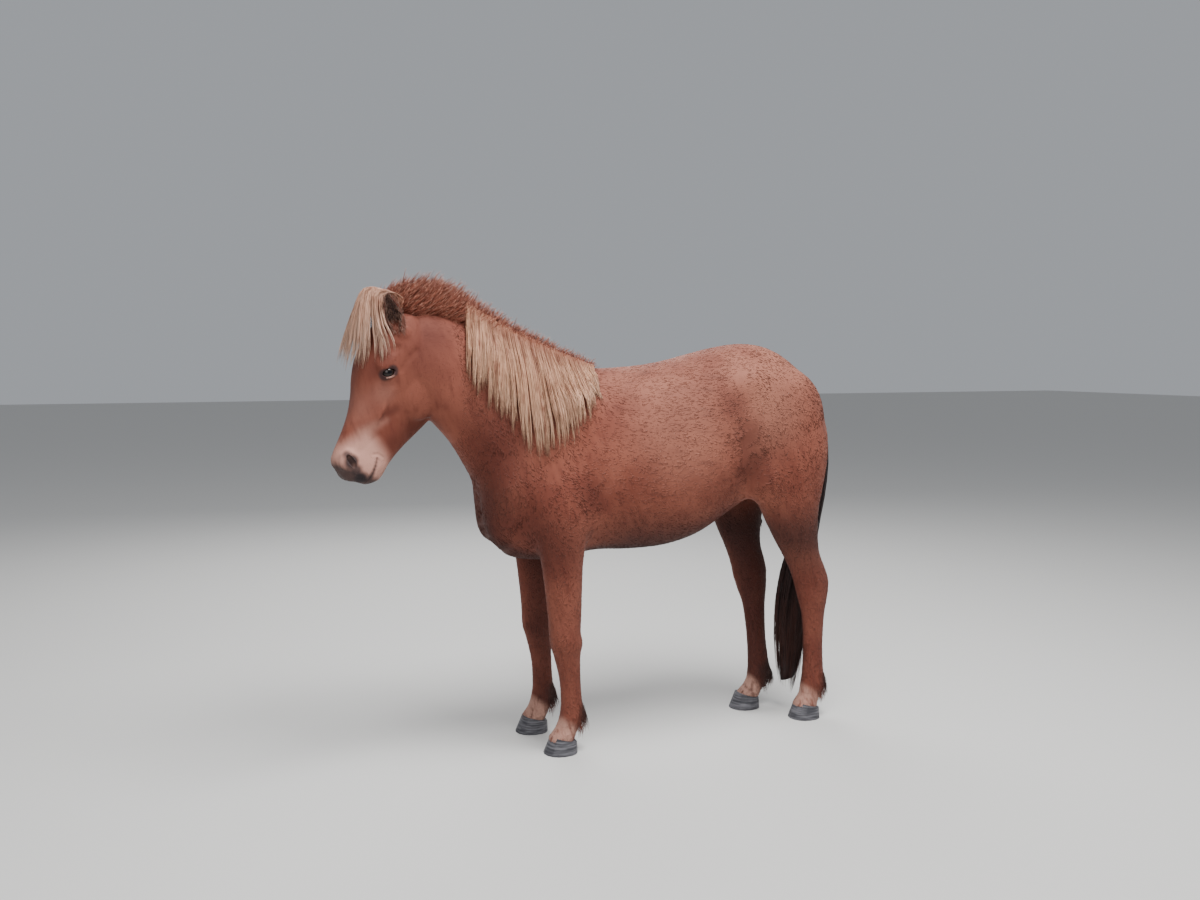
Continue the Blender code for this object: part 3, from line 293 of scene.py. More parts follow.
head = {
    # down the face: distance, reach to the front and back, half width, widest level, front and back roundness
    "poll": (-0.828, -0.060, 1.440),
    "yaw": 14,
    "tilt": 18,
    "stations": (
        (0.010, -0.040, 0.090, 0.036, 0.065, 2.0, 2.0),
        (0.035, -0.002, 0.135, 0.056, 0.070, 2.0, 2.0),
        (0.070, 0.026, 0.172, 0.072, 0.075, 2.2, 2.0),
        (0.110, 0.040, 0.205, 0.082, 0.080, 2.5, 1.9),
        (0.155, 0.048, 0.232, 0.086, 0.084, 2.7, 1.8),
        (0.200, 0.051, 0.246, 0.085, 0.085, 2.8, 1.8),
        (0.250, 0.046, 0.248, 0.077, 0.082, 2.7, 1.7),
        (0.300, 0.036, 0.232, 0.066, 0.074, 2.5, 1.7),
        (0.350, 0.031, 0.203, 0.056, 0.068, 2.4, 1.8),
        (0.400, 0.033, 0.172, 0.049, 0.062, 2.3, 1.9),
        (0.450, 0.039, 0.146, 0.046, 0.058, 2.2, 2.0),
        (0.485, 0.041, 0.132, 0.048, 0.056, 2.2, 2.1),
        (0.512, 0.032, 0.122, 0.046, 0.056, 2.2, 2.2),
        (0.533, 0.012, 0.106, 0.038, 0.054, 2.1, 2.2),
        (0.546, -0.014, 0.084, 0.022, 0.050, 2.0, 2.0),
    ),
    "forms": (  # middle along the face, out of it and to the side, then the reaches
        ((0.215, -0.150, 0.046), (0.105, 0.095, 0.040)),
        ((0.178, -0.016, 0.062), (0.050, 0.040, 0.028)),
        ((0.300, -0.045, 0.048), (0.070, 0.018, 0.018)),
        ((0.490, -0.002, 0.032), (0.038, 0.034, 0.020)),
        ((0.510, -0.026, 0.012), (0.040, 0.042, 0.034)),
        ((0.496, -0.100, 0.000), (0.038, 0.028, 0.030)),
        ((0.090, -0.045, 0.050), (0.040, 0.038, 0.030)),
    ),
}
legs = {  # by height: front edge, back edge, half width, distance from the horse's middle
    "frontRound": 2.2,
    "fore": (
        (1.020, -0.440, -0.220, 0.040, 0.140),
        (0.900, -0.450, -0.200, 0.068, 0.145),
        (0.800, -0.430, -0.196, 0.078, 0.148),
        (0.720, -0.405, -0.212, 0.074, 0.147),
        (0.640, -0.383, -0.228, 0.062, 0.145),
        (0.540, -0.366, -0.233, 0.052, 0.141),
        (0.450, -0.354, -0.236, 0.046, 0.138),
        (0.400, -0.350, -0.238, 0.047, 0.137),
        (0.360, -0.346, -0.232, 0.048, 0.136),
        (0.315, -0.332, -0.238, 0.041, 0.134),
        (0.240, -0.314, -0.236, 0.032, 0.131),
        (0.165, -0.308, -0.230, 0.033, 0.129),
        (0.120, -0.312, -0.218, 0.039, 0.127),
        (0.085, -0.324, -0.236, 0.036, 0.125),
        (0.055, -0.344, -0.252, 0.043, 0.124),
        (0.036, -0.349, -0.256, 0.045, 0.124),
    ),
    "hind": (
        (1.150, 0.360, 0.620, 0.050, 0.120),
        (1.050, 0.350, 0.680, 0.085, 0.126),
        (0.950, 0.360, 0.686, 0.094, 0.130),
        (0.860, 0.378, 0.672, 0.088, 0.132),
        (0.760, 0.412, 0.655, 0.074, 0.130),
        (0.670, 0.462, 0.652, 0.061, 0.126),
        (0.600, 0.506, 0.662, 0.051, 0.122),
        (0.540, 0.540, 0.688, 0.045, 0.119),
        (0.490, 0.562, 0.704, 0.044, 0.116),
        (0.430, 0.582, 0.700, 0.041, 0.113),
        (0.370, 0.600, 0.692, 0.035, 0.110),
        (0.260, 0.610, 0.690, 0.031, 0.106),
        (0.165, 0.610, 0.698, 0.033, 0.102),
        (0.118, 0.606, 0.708, 0.040, 0.100),
        (0.084, 0.600, 0.690, 0.037, 0.099),
        (0.055, 0.582, 0.676, 0.043, 0.098),
        (0.036, 0.580, 0.674, 0.045, 0.098),
    ),
    "stance": {  # section, side, heights, how far forward at each, how far inward at the foot
        "fore_left": ("fore", -1, (0.0, 1.0), (0.0, 0.0), 0.0),
        "fore_right": ("fore", 1, (0.0, 0.4, 0.8), (0.025, 0.010, 0.0), 0.015),
        "hind_left": ("hind", -1, (0.0, 1.0), (0.0, 0.0), 0.0),
        "hind_right": ("hind", 1, (0.0, 0.11, 0.48, 0.84, 1.05), (0.150, 0.115, 0.125, 0.055, 0.0), 0.020),
    },
}
muscles = (  # middle, reaches and lean about Y in degrees, on both sides
    ((-0.330, 0.130, 0.980), (0.120, 0.068, 0.230), 32),
    ((-0.270, 0.145, 0.840), (0.115, 0.066, 0.115), 25),
    ((-0.440, 0.105, 0.860), (0.085, 0.078, 0.100), 0),
    ((-0.485, 0.062, 0.770), (0.058, 0.070, 0.100), 0),
    ((0.350, 0.160, 1.170), (0.090, 0.058, 0.080), 0),
    ((0.490, 0.118, 1.060), (0.180, 0.105, 0.200), 20),
    ((0.425, 0.148, 0.870), (0.085, 0.076, 0.105), -15),
    ((0.610, 0.094, 0.930), (0.078, 0.078, 0.190), 4),
    ((-0.228, 0.146, 0.755), (0.042, 0.050, 0.055), 0),
)

# The head ends where out of the face plus slope times down the face lies between these ends
headEnd = {"slope": 0.35, "ends": (-0.25, -0.13), "coatEnds": (-0.34, -0.10)}

yaw, tilt = math.radians(head["yaw"]), math.radians(head["tilt"])
ahead = np.array((-math.cos(yaw), -math.sin(yaw), 0))
upward = np.array((0, 0, 1.0))
downFace = ahead * math.sin(tilt) - upward * math.cos(tilt)
outFace = ahead * math.cos(tilt) + upward * math.sin(tilt)
leftward = np.array((math.sin(yaw), -math.cos(yaw), 0))
headAxes = np.array((downFace, outFace, leftward))
poll = np.array(head["poll"])


def headPoint(along, out, left=0.0):
    return poll + np.array((along, out, left)) @ headAxes


def inHead(points):  # along the face, out of it, to the left
    return (points - poll) @ headAxes.T


def headness(points):  # 1 on the head, 0 behind the throat
    local = inHead(points)
    return rise(local[:, 1] + headEnd["slope"] * local[:, 0], *headEnd["ends"])


def bodyness(points):
    inTrunk = rise(points[:, 2], 0.62, 0.78) * (1 - headness(points))
    return inTrunk * (1 - 0.6 * rise(-points[:, 0], 0.5, 0.7))


def legSetting(name, height):  # how far forward and how far out the leg's middle stands at a height
    _, _, heights, forwards, inward = legs["stance"][name]
    return np.interp(height, heights, forwards), np.interp(height, (0.0, 0.9), (inward, 0.0))


def bodyForms():
    up, across, forwardWay = np.array((0, 0, 1.0)), np.array((0, 1.0, 0)), np.array((-1.0, 0, 0))
    yield loft("trunk", [
        ring((x, 0, level), up, across, top - level, level - bottom, wide, over, under)
        for x, top, bottom, wide, level, over, under in fair(trunk["stations"])
    ])
    rings = []
    for crestX, crestZ, throatX, throatZ, wide, bend in fair(neck["stations"]):
        crest, throat = np.array((crestX, bend, crestZ)), np.array((throatX, bend, throatZ))
        height = np.linalg.norm(crest - throat)
        lean = (crest - throat) / height
        side = unit(np.cross(lean, forwardWay))
        below = height * neck["below"]
        above = height * neck["above"]
        rings.append(ring(throat + lean * height * neck["below"], lean, side, above, below, wide,
                          neck["crestRound"]))
    yield loft("neck", rings)
    yield loft("head", [
        ring(headPoint(along, -level), outFace, leftward, front + level, back - level, wide,
             frontRound, backRound)
        for along, front, back, wide, level, frontRound, backRound in fair(head["stations"])
    ])
    for name, (section, side, *_) in legs["stance"].items():
        rings = []
        for height, front, back, wide, out in fair(legs[section]):
            forward, inward = legSetting(name, height)
            middle = ((front + back) / 2 - forward, side * (out - inward), height)
            deep = (back - front) / 2
            rings.append(ring(middle, forwardWay, across, deep, deep, wide, legs["frontRound"]))
        yield loft(name, rings)
    for (x, y, z), reaches, lean in muscles:
        for side in (-1, 1):
            place = Matrix.Translation((x, side * y, z)) @ Matrix.Rotation(math.radians(lean), 4, "Y")
            yield roundForm("muscle", place @ Matrix.Diagonal((*reaches, 1)))
    turn = Matrix(headAxes).transposed().to_4x4()
    for (along, out, left), reaches in head["forms"]:
        for side in (-1, 1) if left else (1,):
            place = Matrix.Translation(headPoint(along, out, side * left)) @ turn
            yield roundForm("face", place @ Matrix.Diagonal((*reaches, 1)))


def joined(objects, name):
    bpy.ops.object.select_all(action="DESELECT")
    for obj in objects:
        obj.select_set(True)
    bpy.context.view_layer.objects.active = objects[0]
    bpy.ops.object.join()
    bpy.context.object.name = name
    return bpy.context.object


# Eyes: middle, radius, the way the long axis and the gaze run, and half the opening of the lids
eye = {
    "middle": (0.208, -0.026, 0.068),
    "radius": 0.0205,
    "round": 0.022,
    "bareLid": 0.005,
    "pupil": (0.0085, 0.0048),
    "iris": (0.0125, 0.0145),
    "slant": (0.55, 0.80, -0.10),
    "gaze": (0.02, 0.12, 0.99),
    "opening": (0.0200, 0.0122),
    "lid": 0.0040,
}


def mirrored(vector, side):
    return np.array((vector[0], vector[1], side * vector[2]))


def frameAt(origin, first, third):
    x = unit(np.array(first))
    y = unit(np.cross(third, x))
    z = np.cross(x, y)
    turn = Matrix((x, y, z)).transposed().to_4x4()
    return Matrix.Translation(origin) @ turn


def eyePlace(side):
    return frameAt(
        headPoint(*mirrored(eye["middle"], side)),
        mirrored(eye["slant"], side) @ headAxes,
        mirrored(eye["gaze"], side) @ headAxes,
    )


def inEye(points, side):
    return (points - np.array(eyePlace(side).translation)) @ np.array(eyePlace(side).to_3x3())


# Skin

skinMake = {
    "voxel": 0.005,
    "evenTurns": 5,
    "blendTurns": 240,
    "triangles": 105000,
    "finerWithin": (0.022, 0.012),  # of the eyes, nostrils and lips
    "smoothWithin": 0.024,
    "smoothTurns": 6,
    "depths": {"trunk": 0.0070, "leg": 0.0040, "face": 0.0022},  # how far the skin lies under the coat's tips
    "lidClear": (0.024, 0.045),
}

# Folds and ridges: points in the horse's frame on its left side, width, and height, below 0 for a furrow
bodyLines = (
    (((0.375, -0.21, 0.800), (0.335, -0.20, 0.880), (0.305, -0.22, 0.960),
      (0.300, -0.22, 1.040)), 0.030, -0.010),
    (((0.300, -0.16, 0.730), (0.345, -0.17, 0.790), (0.375, -0.18, 0.850)), 0.022, 0.010),
    (((-0.190, -0.20, 0.660), (-0.175, -0.21, 0.730), (-0.180, -0.22, 0.820),
      (-0.215, -0.22, 0.930)), 0.022, -0.008),
    (((-0.455, -0.14, 0.720), (-0.420, -0.17, 0.780), (-0.395, -0.19, 0.860),
      (-0.360, -0.2, 0.950)), 0.020, -0.006),
    (((-0.575, 0.0, 0.900), (-0.560, 0.0, 0.820), (-0.530, 0.0, 0.740),
      (-0.480, 0.0, 0.660)), 0.022, -0.014),
    (((-0.500, -0.11, 0.960), (-0.560, -0.09, 1.010), (-0.620, -0.09, 1.070)), 0.020, -0.006),
    (((0.640, -0.16, 1.050), (0.650, -0.14, 0.940), (0.640, -0.12, 0.830),
      (0.620, -0.14, 0.740)), 0.022, -0.006),
    (((0.350, -0.19, 1.230), (0.370, -0.215, 1.190), (0.385, -0.22, 1.150)), 0.030, 0.005),
)
faceLines = (  # in the head's directions: along, out, to the side
    (((0.255, -0.052, 0.08), (0.300, -0.050, 0.07), (0.345, -0.046, 0.062),
      (0.372, -0.044, 0.056)), 0.008, 0.0035),
    (((0.262, -0.072, 0.08), (0.310, -0.068, 0.07), (0.350, -0.062, 0.060)), 0.009, -0.0030),
    (((0.120, -0.090, 0.08), (0.160, -0.070, 0.09), (0.190, -0.060, 0.09)), 0.010, -0.0025),
    (((0.130, -0.030, 0.075), (0.160, -0.010, 0.080), (0.180, 0.006, 0.082)), 0.012, -0.0050),
    (((0.395, -0.060, 0.050), (0.430, -0.040, 0.050), (0.455, -0.020, 0.048)), 0.009, -0.0020),
    (((0.360, -0.020, 0.055), (0.400, -0.005, 0.052), (0.440, 0.006, 0.048)), 0.010, 0.0020),
    (((0.445, -0.100, 0.030), (0.470, -0.112, 0.025), (0.500, -0.125, 0.010)), 0.009, 0.0015),
    (((0.452, -0.066, 0.042), (0.448, -0.080, 0.040), (0.452, -0.096, 0.036)), 0.005, -0.0022),
    (((0.150, -0.200, 0.06), (0.200, -0.228, 0.05), (0.260, -0.236, 0.045),
      (0.320, -0.212, 0.04)), 0.012, 0.0030),
    (((0.110, -0.150, 0.06), (0.118, -0.180, 0.06), (0.150, -0.215, 0.055),
      (0.190, -0.245, 0.04)), 0.010, -0.0060),
)


def lineReach(points, line):  # the distance of each point from a line of a few points
    line = np.array(line)
    nearest = np.full(len(points), 9.0)
    for a, b in zip(line[:-1], line[1:]):
        t = np.clip(((points - a) @ (b - a)) / ((b - a) @ (b - a)), 0, 1)
        nearest = np.minimum(nearest, np.linalg.norm(points - a - np.outer(t, b - a), axis=1))
    return nearest


def coatDepth(points):
    local = inHead(points)
    onHead = headness(points)
    leg = rise(0.62 - points[:, 2], 0, 0.2)
    depths = skinMake["depths"]
    depth = depths["trunk"] * (1 - leg) + depths["leg"] * leg
    faceDepth = depths["face"] * (1 - 0.6 * rise(local[:, 0], 0.42, 0.50))
    depth = depth * (1 - onHead) + faceDepth * onHead
    for side in (-1, 1):
        away = np.linalg.norm(inEye(points, side), axis=1)
        depth = depth * rise(away, *skinMake["lidClear"])
    return depth


def shapeLines(points, outwards):
    local = inHead(points)
    local[:, 2] = np.abs(local[:, 2])
    onHead = headness(points)
    lift = np.zeros(len(points))
    for lines, where, share in ((bodyLines, mirrorLeft(points), 1 - onHead), (faceLines, local, onHead)):
        for line, width, height in lines:
            lift += height * np.exp(-((lineReach(where, line) / width) ** 2)) * share
    return points + outwards * lift[:, None]


def finer(obj, chosen):  # halve the edges of the faces whose middle is chosen
    middles = np.empty(len(obj.data.polygons) * 3)
    obj.data.polygons.foreach_get("center", middles)
    flags = chosen(middles.reshape(-1, 3))
    pick(obj)
    bpy.ops.object.mode_set(mode="EDIT")
    bpy.ops.mesh.select_all(action="DESELECT")
    bpy.ops.object.mode_set(mode="OBJECT")
    obj.data.polygons.foreach_set("select", flags)
    bpy.ops.object.mode_set(mode="EDIT")
    bpy.ops.mesh.subdivide(number_cuts=1)
    bpy.ops.mesh.select_all(action="SELECT")
    bpy.ops.mesh.quads_convert_to_tris()
    bpy.ops.object.mode_set(mode="OBJECT")


def nearFeatures(points, reach):  # round the eyes, nostrils and lips
    local = inHead(points)
    local[:, 2] = np.abs(local[:, 2])
    eyeGap = np.linalg.norm(local - np.array(eye["middle"]), axis=1) - eye["round"]
    nostrilGap = np.linalg.norm(local - np.array(nostril["middle"]), axis=1) - nostril["round"]
    mouthGap = lineReach(local, mouth["line"])
    return np.minimum(np.minimum(eyeGap, nostrilGap), mouthGap) < reach


nostril = {
    "middle": (0.491, -0.003, 0.050),
    "round": 0.020,
    "bare": 0.021,
    "faces": (0.1, 0.3, 0.9),
    "reaches": (0.026, 0.0105, 0.015),
    "slant": (0.61, -0.79, 0.0),
}
mouth = {
    "line": (
        (0.458, -0.080, 0.038),
        (0.484, -0.081, 0.042),
        (0.508, -0.079, 0.040),
        (0.528, -0.074, 0.032),
        (0.541, -0.069, 0.018),
        (0.545, -0.067, 0.000),
    ),
    "width": 0.0018,
    "depth": 0.008,
    "past": 0.02,
    "bare": 0.006,
}

skin = joined(list(bodyForms()), "skin")
applied(skin, "REMESH", mode="VOXEL", voxel_size=skinMake["voxel"])
applied(skin, "SMOOTH", factor=0.5, iterations=skinMake["evenTurns"])
group = weighted(skin, "body", bodyness(places(skin)))
applied(skin, "SMOOTH", factor=0.5, iterations=skinMake["blendTurns"], vertex_group=group)
co = places(skin)
group = weighted(skin, "plain", 1 - 0.5 * headness(co) - 0.15 * rise(0.7 - co[:, 2], 0, 0.1))
ratio = skinMake["triangles"] / (2 * len(skin.data.polygons))
applied(skin, "DECIMATE", ratio=ratio, vertex_group=group, vertex_group_factor=0.05)
skin.vertex_groups.clear()
print("skin in one piece:", len(skin.data.polygons), "faces")

for reach in skinMake["finerWithin"]:
    finer(skin, lambda middles: nearFeatures(middles, reach))
co = places(skin)
near = nearFeatures(co, skinMake["smoothWithin"]).astype(float)
group = weighted(skin, "near", near)
applied(skin, "SMOOTH", factor=0.5, iterations=skinMake["smoothTurns"], vertex_group=group)
skin.vertex_groups.clear()
co = places(skin)
movePoints(skin, co - normals(skin) * coatDepth(co)[:, None])
movePoints(skin, shapeLines(places(skin), normals(skin)))
print("skin shaped:", len(skin.data.polygons), "faces")


def almond(scale, count=44):
    angle = np.arange(count) * 2 * math.pi / count
    c, s = np.cos(angle), np.sin(angle)
    high = np.sign(s) * np.abs(s) ** 1.25
    x = eye["opening"][0] * scale * c
    y = eye["opening"][1] * scale * high * (1 + 0.1 * c)
    return x, y


def lidCutter(side):  # the hole in the skin, a little wider than the opening of the lids
    x, y = almond(1.10)
    rings = [np.stack([x, y, np.full(len(x), z)], axis=1) for z in (0.006, 0.05)]
    cutter = loft("opening", rings)
    cutter.data.transform(eyePlace(side))
    return cutter


def lidForm(side):  # a closed band round the eye: its rim, the lid over the eyeball and its hidden back
    radius = eye["radius"]
    profile = (  # how far out from the opening, how far off the eyeball
        (0.06, 0.0004), (-0.02, 0.0006), (-0.04, 0.0016), (0.00, 0.0026), (0.10, 0.0034), (0.24, 0.0040),
        (0.38, 0.0044), (0.52, 0.0040), (0.62, 0.0024), (0.62, -0.0010), (0.34, 0.0002),
    )
    rows = []
    for out, off in profile:
        x, y = almond(1.0, 64)
        away = np.hypot(x, y)
        grow = 1 + out * 0.011 / away
        reach = np.hypot(x * grow, y * grow)
        # beyond the eyeball's side the band bends back round it
        bend = np.minimum(reach / (radius + off), 0.97)
        z = (radius + off) * np.sqrt(1 - bend**2)
        rows.append(np.stack([x * grow, y * grow, z], axis=1))
    count, turns = len(rows[0]), len(rows)
    faces = []
    for r in range(turns):
        for k in range(count):
            n, s = (k + 1) % count, (r + 1) % turns
            faces.append([r * count + k, r * count + n, s * count + n, s * count + k])
    lids = meshObject("lids", np.concatenate(rows), faces)
    lids.data.transform(eyePlace(side))
    outward(lids)
    return lids


def nostrilCutter(side):
    place = frameAt(
        headPoint(*mirrored(nostril["middle"], side)),
        np.array(nostril["slant"]) @ headAxes,
        mirrored(nostril["faces"], side) @ headAxes,
    )
    return roundForm("nostril", place @ Matrix.Diagonal((*nostril["reaches"], 1)), 32, 18)


def mouthCutter():
    right = [mirrored(point, -1) for point in mouth["line"][:-1]]
    line = np.array([headPoint(*p) for p in fair((*mouth["line"], *right[::-1]), 6)])
    rings = []
    for k, point in enumerate(line):
        run = line[min(k + 1, len(line) - 1)] - line[max(k - 1, 0)]
        out = unit(np.cross(run, outFace))
        if out @ (point - headPoint(0.46, -0.07)) < 0:
            out = -out
        inner, outer = point - out * mouth["depth"], point + out * mouth["past"]
        step = outFace * mouth["width"] / 2
        rings.append([inner - step, outer - step, outer + step, inner + step])
    return loft("mouth", rings)


for side in (-1, 1):
    lidBall = eyePlace(side) @ Matrix.Diagonal((*([eye["radius"] + eye["lid"] - 0.0010] * 3), 1))
    cut(skin, roundForm("lids", lidBall, 48, 28), "UNION")
    cut(skin, lidCutter(side))
    socket = eyePlace(side) @ Matrix.Diagonal((*([eye["radius"] + 0.0004] * 3), 1))
    cut(skin, roundForm("socket", socket, 48, 28))
    cut(skin, nostrilCutter(side))
cut(skin, mouthCutter())
print("face cut:", len(skin.data.polygons), "faces")
skin = joined([skin, lidForm(-1), lidForm(1)], "skin")
edited(
    skin,
    bpy.ops.mesh.quads_convert_to_tris,
    lambda: bpy.ops.uv.smart_project(angle_limit=math.radians(66), island_margin=0.002),
)
skin.data.uv_layers.active.name = "OFBake"
skin.data.shade_smooth()
surface = BVHTree.FromObject(skin, bpy.context.evaluated_depsgraph_get())
print("skin done:", len(skin.data.polygons), "faces")


# Finishes


class Value:  # a socket that takes part in sums
    def __init__(self, finish, socket):
        self.finish, self.socket = finish, socket

    def __add__(self, other):
        return self.finish.maths("ADD", self, other)

    def __sub__(self, other):
        return self.finish.maths("SUBTRACT", self, other)

    def __rsub__(self, other):
        return self.finish.maths("SUBTRACT", other, self)

    def __mul__(self, other):
        return self.finish.maths("MULTIPLY", self, other)

    def __truediv__(self, other):
        return self.finish.maths("DIVIDE", self, other)

    def __pow__(self, other):
        return self.finish.maths("POWER", self, other)

    __radd__, __rmul__ = __add__, __mul__


class Finish:  # one material and the nodes that make it
    def __init__(self, name, **constants):
        self.material = bpy.data.materials.new(name)
        self.material.use_nodes = True
        self.tree = self.material.node_tree
        self.shader = self.tree.nodes["Principled BSDF"]
        for key, value in constants.items():
            self.shader.inputs[key.replace("_", " ")].default_value = value
        corner = self.node("ShaderNodeTexCoord", out="Object")
        ends = {0: corner, 1: tuple(shift)}
        self.place = self.node("ShaderNodeVectorMath", {"operation": "SUBTRACT"}, ends)
        split = self.node("ShaderNodeSeparateXYZ", inputs={0: self.place})
        self.x, self.y, self.z = (Value(self, split.socket.node.outputs[k]) for k in range(3))

    def feed(self, socket, value):
        if isinstance(value, Value):
            self.tree.links.new(value.socket, socket)
        else:
            socket.default_value = value

    def node(self, kind, settings=None, inputs=None, out=0):
        made = self.tree.nodes.new(kind)
        for key, value in (settings or {}).items():
            if key == "stops":
                while len(made.color_ramp.elements) < len(value):
                    made.color_ramp.elements.new(0.5)
                for element, (position, color) in zip(made.color_ramp.elements, value):
                    element.position, element.color = position, (*color, 1)
            else:
                setattr(made, key, value)
        for key, value in (inputs or {}).items():
            self.feed(made.inputs[key], value)
        return Value(self, made.outputs[out])

    def maths(self, operation, *values):
        return self.node("ShaderNodeMath", {"operation": operation}, dict(enumerate(values)))

    def rise(self, value, low, high):  # 0 at low, 1 at high
        settings = {"interpolation_type": "SMOOTHSTEP"}
        return self.node("ShaderNodeMapRange", settings, {"Value": value, "From Min": low, "From Max": high})

    def near(self, point, inner, outer, place=None):  # 1 within inner of a point, 0 past outer
        ends = {0: place or self.place, 1: tuple(point)}
        away = self.node("ShaderNodeVectorMath", {"operation": "DISTANCE"}, ends, "Value")
        settings = {"interpolation_type": "SMOOTHSTEP"}
        limits = {"Value": away, "From Min": inner, "From Max": outer, "To Min": 1.0, "To Max": 0.0}
        return self.node("ShaderNodeMapRange", settings, limits)

    def noise(self, scale, detail=2.0, stretch=(1, 1, 1), turn=(0, 0, 0), roughness=0.5):
        # a Mapping node of the kind TEXTURE divides by the scale, so a stretch of 4 makes longer streaks
        placed = self.node("ShaderNodeMapping", {"vector_type": "TEXTURE"}, {
            "Vector": self.place, "Rotation": turn, "Scale": stretch,
        })
        inputs = {"Vector": placed, "Scale": scale, "Detail": detail, "Roughness": roughness}
        return self.node("ShaderNodeTexNoise", {}, inputs)

    def mix(self, factor, first, second, blend="MIX"):
        made = self.tree.nodes.new("ShaderNodeMix")
        made.data_type, made.blend_type = "RGBA", blend
        self.feed(made.inputs["Factor"], factor)
        for socket, color in ((made.inputs[6], first), (made.inputs[7], second)):
            self.feed(socket, color if isinstance(color, Value) else (*color, 1))
        return Value(self, made.outputs[2])

    def along(self, way):  # how far along a direction the point lies
        ends = {0: self.place, 1: tuple(way)}
        return self.node("ShaderNodeVectorMath", {"operation": "DOT_PRODUCT"}, ends, "Value")

    def bump(self, height, strength, distance):
        inputs = {"Height": height, "Strength": strength, "Distance": distance}
        self.feed(self.shader.inputs["Normal"], self.node("ShaderNodeBump", {}, inputs))


coatLook = {
    "deep": (0.080, 0.019, 0.013),
    "mid": (0.155, 0.041, 0.026),
    "bright": (0.235, 0.074, 0.047),
    # a painted highlight: the sky's sheen along the back and the light on the haunch and croup
    "paintedSheen": (0.340, 0.145, 0.100),
    # painted shade under the belly, on the chest's front and on the inner faces of the legs
    "shade": (0.022, 0.008, 0.007),
    "mealy": (0.560, 0.300, 0.235),
    # dark skin of the lips, nostrils and ears, also used for painted shade along the mouth's crease and round
    # the eyes
    "sootAndShade": (0.020, 0.015, 0.017),
    "nostril": (0.070, 0.062, 0.078),
    "fetlock": (0.026, 0.012, 0.010),
    "pastern": (0.460, 0.260, 0.200),
    "streak": 34,
}
# Painted shade on the chest's front, in hollows and creases and under the jaw and the mane: a place on the
# left side, full and no effect radius, how much
paintedShadePlaces = (
    ((-0.520, -0.08, 0.800), 0.03, 0.26, 0.55), ((-0.350, -0.17, 0.690), 0.03, 0.17, 0.75),
    ((-0.503, -0.13, 1.147), 0.05, 0.20, 0.45), ((-0.516, -0.14, 0.995), 0.03, 0.14, 0.55),
    ((0.215, -0.20, 1.240), 0.01, 0.09, 0.35), ((0.271, -0.21, 1.123), 0.01, 0.09, 0.55),
    ((0.323, -0.21, 1.023), 0.01, 0.09, 0.60), ((0.360, -0.21, 0.900), 0.02, 0.11, 0.60),
    ((-0.228, -0.21, 0.840), 0.01, 0.09, 0.50), ((-0.772, -0.10, 1.060), 0.03, 0.12, 0.55),
    ((0.620, -0.15, 0.700), 0.02, 0.14, 0.30),
)
# Painted highlights where light falls on the haunch, the flank, the croup and the crest, given the same way
paintedLightPlaces = (
    ((0.400, -0.22, 1.080), 0.02, 0.21, 0.50), ((0.080, -0.25, 1.050), 0.06, 0.26, 0.40),
    ((0.500, -0.20, 1.180), 0.02, 0.22, 0.16), ((-0.400, -0.15, 1.250), 0.02, 0.12, 0.20),
)
# Painted shade on the face, given the same way in the head's own directions: along the facial crest's furrow,
# on the cheek and jowl, under the jaw and round the eye
paintedShadeFace = (
    ((0.304, -0.085, 0.062), 0.000, 0.026, 0.55), ((0.318, -0.071, 0.058), 0.000, 0.024, 0.55),
    ((0.332, -0.057, 0.055), 0.000, 0.022, 0.45), ((0.356, -0.161, 0.040), 0.000, 0.065, 0.60),
    ((0.330, -0.206, 0.040), 0.000, 0.075, 0.65), ((0.222, 0.018, 0.072), 0.000, 0.038, 0.45),
    ((0.150, -0.110, 0.082), 0.000, 0.080, 0.35), ((0.165, -0.180, 0.070), 0.000, 0.065, 0.40),
    ((0.405, -0.115, 0.045), 0.000, 0.050, 0.55), ((0.160, -0.005, 0.078), 0.000, 0.040, 0.35),
    ((0.060, -0.120, 0.075), 0.000, 0.090, 0.35),
)
# Pale mealy hair on the face, with a painted highlight along the facial crest, given the same way
mealyAndLitFace = (
    ((0.270, -0.030, 0.078), 0.000, 0.060, 0.16), ((0.345, -0.068, 0.057), 0.000, 0.024, 0.18),
    ((0.362, -0.050, 0.054), 0.000, 0.028, 0.22), ((0.380, -0.032, 0.052), 0.000, 0.032, 0.26),
    ((0.402, -0.012, 0.048), 0.000, 0.038, 0.30), ((0.330, 0.020, 0.040), 0.000, 0.090, 0.12),
)
# Dark skin of the nostrils and lips, with painted shade along the mouth's crease and round the eyes
faceSootAndShade = (
    ((0.474, 0.016, 0.044), 0.004, 0.020, 0.80), ((0.510, -0.028, 0.046), 0.006, 0.024, 0.85),
    ((0.528, -0.050, 0.034), 0.010, 0.030, 0.90), ((0.462, -0.080, 0.039), 0.001, 0.010, 0.70),
    ((0.473, -0.080, 0.041), 0.001, 0.010, 0.70), ((0.484, -0.081, 0.043), 0.001, 0.010, 0.75),
    ((0.495, -0.080, 0.043), 0.001, 0.011, 0.80), ((0.506, -0.079, 0.041), 0.001, 0.013, 0.85),
    ((0.517, -0.077, 0.037), 0.003, 0.016, 0.85), ((0.200, -0.034, 0.082), 0.013, 0.024, 0.80),
    ((0.218, -0.016, 0.080), 0.013, 0.024, 0.80),
)
lowerLid = (  # a pale rim under the eye
    (0.2124, -0.0435, 0.0850), (0.2160, -0.0385, 0.0875), (0.2195, -0.0330, 0.0884),
    (0.2228, -0.0282, 0.0875), (0.2262, -0.0232, 0.0850),
)
hoofPlaces = {
    "fore_left": (-0.307, -0.124),
    "fore_right": (-0.332, 0.109),
    "hind_left": (0.620, -0.098),
    "hind_right": (0.475, 0.078),
}


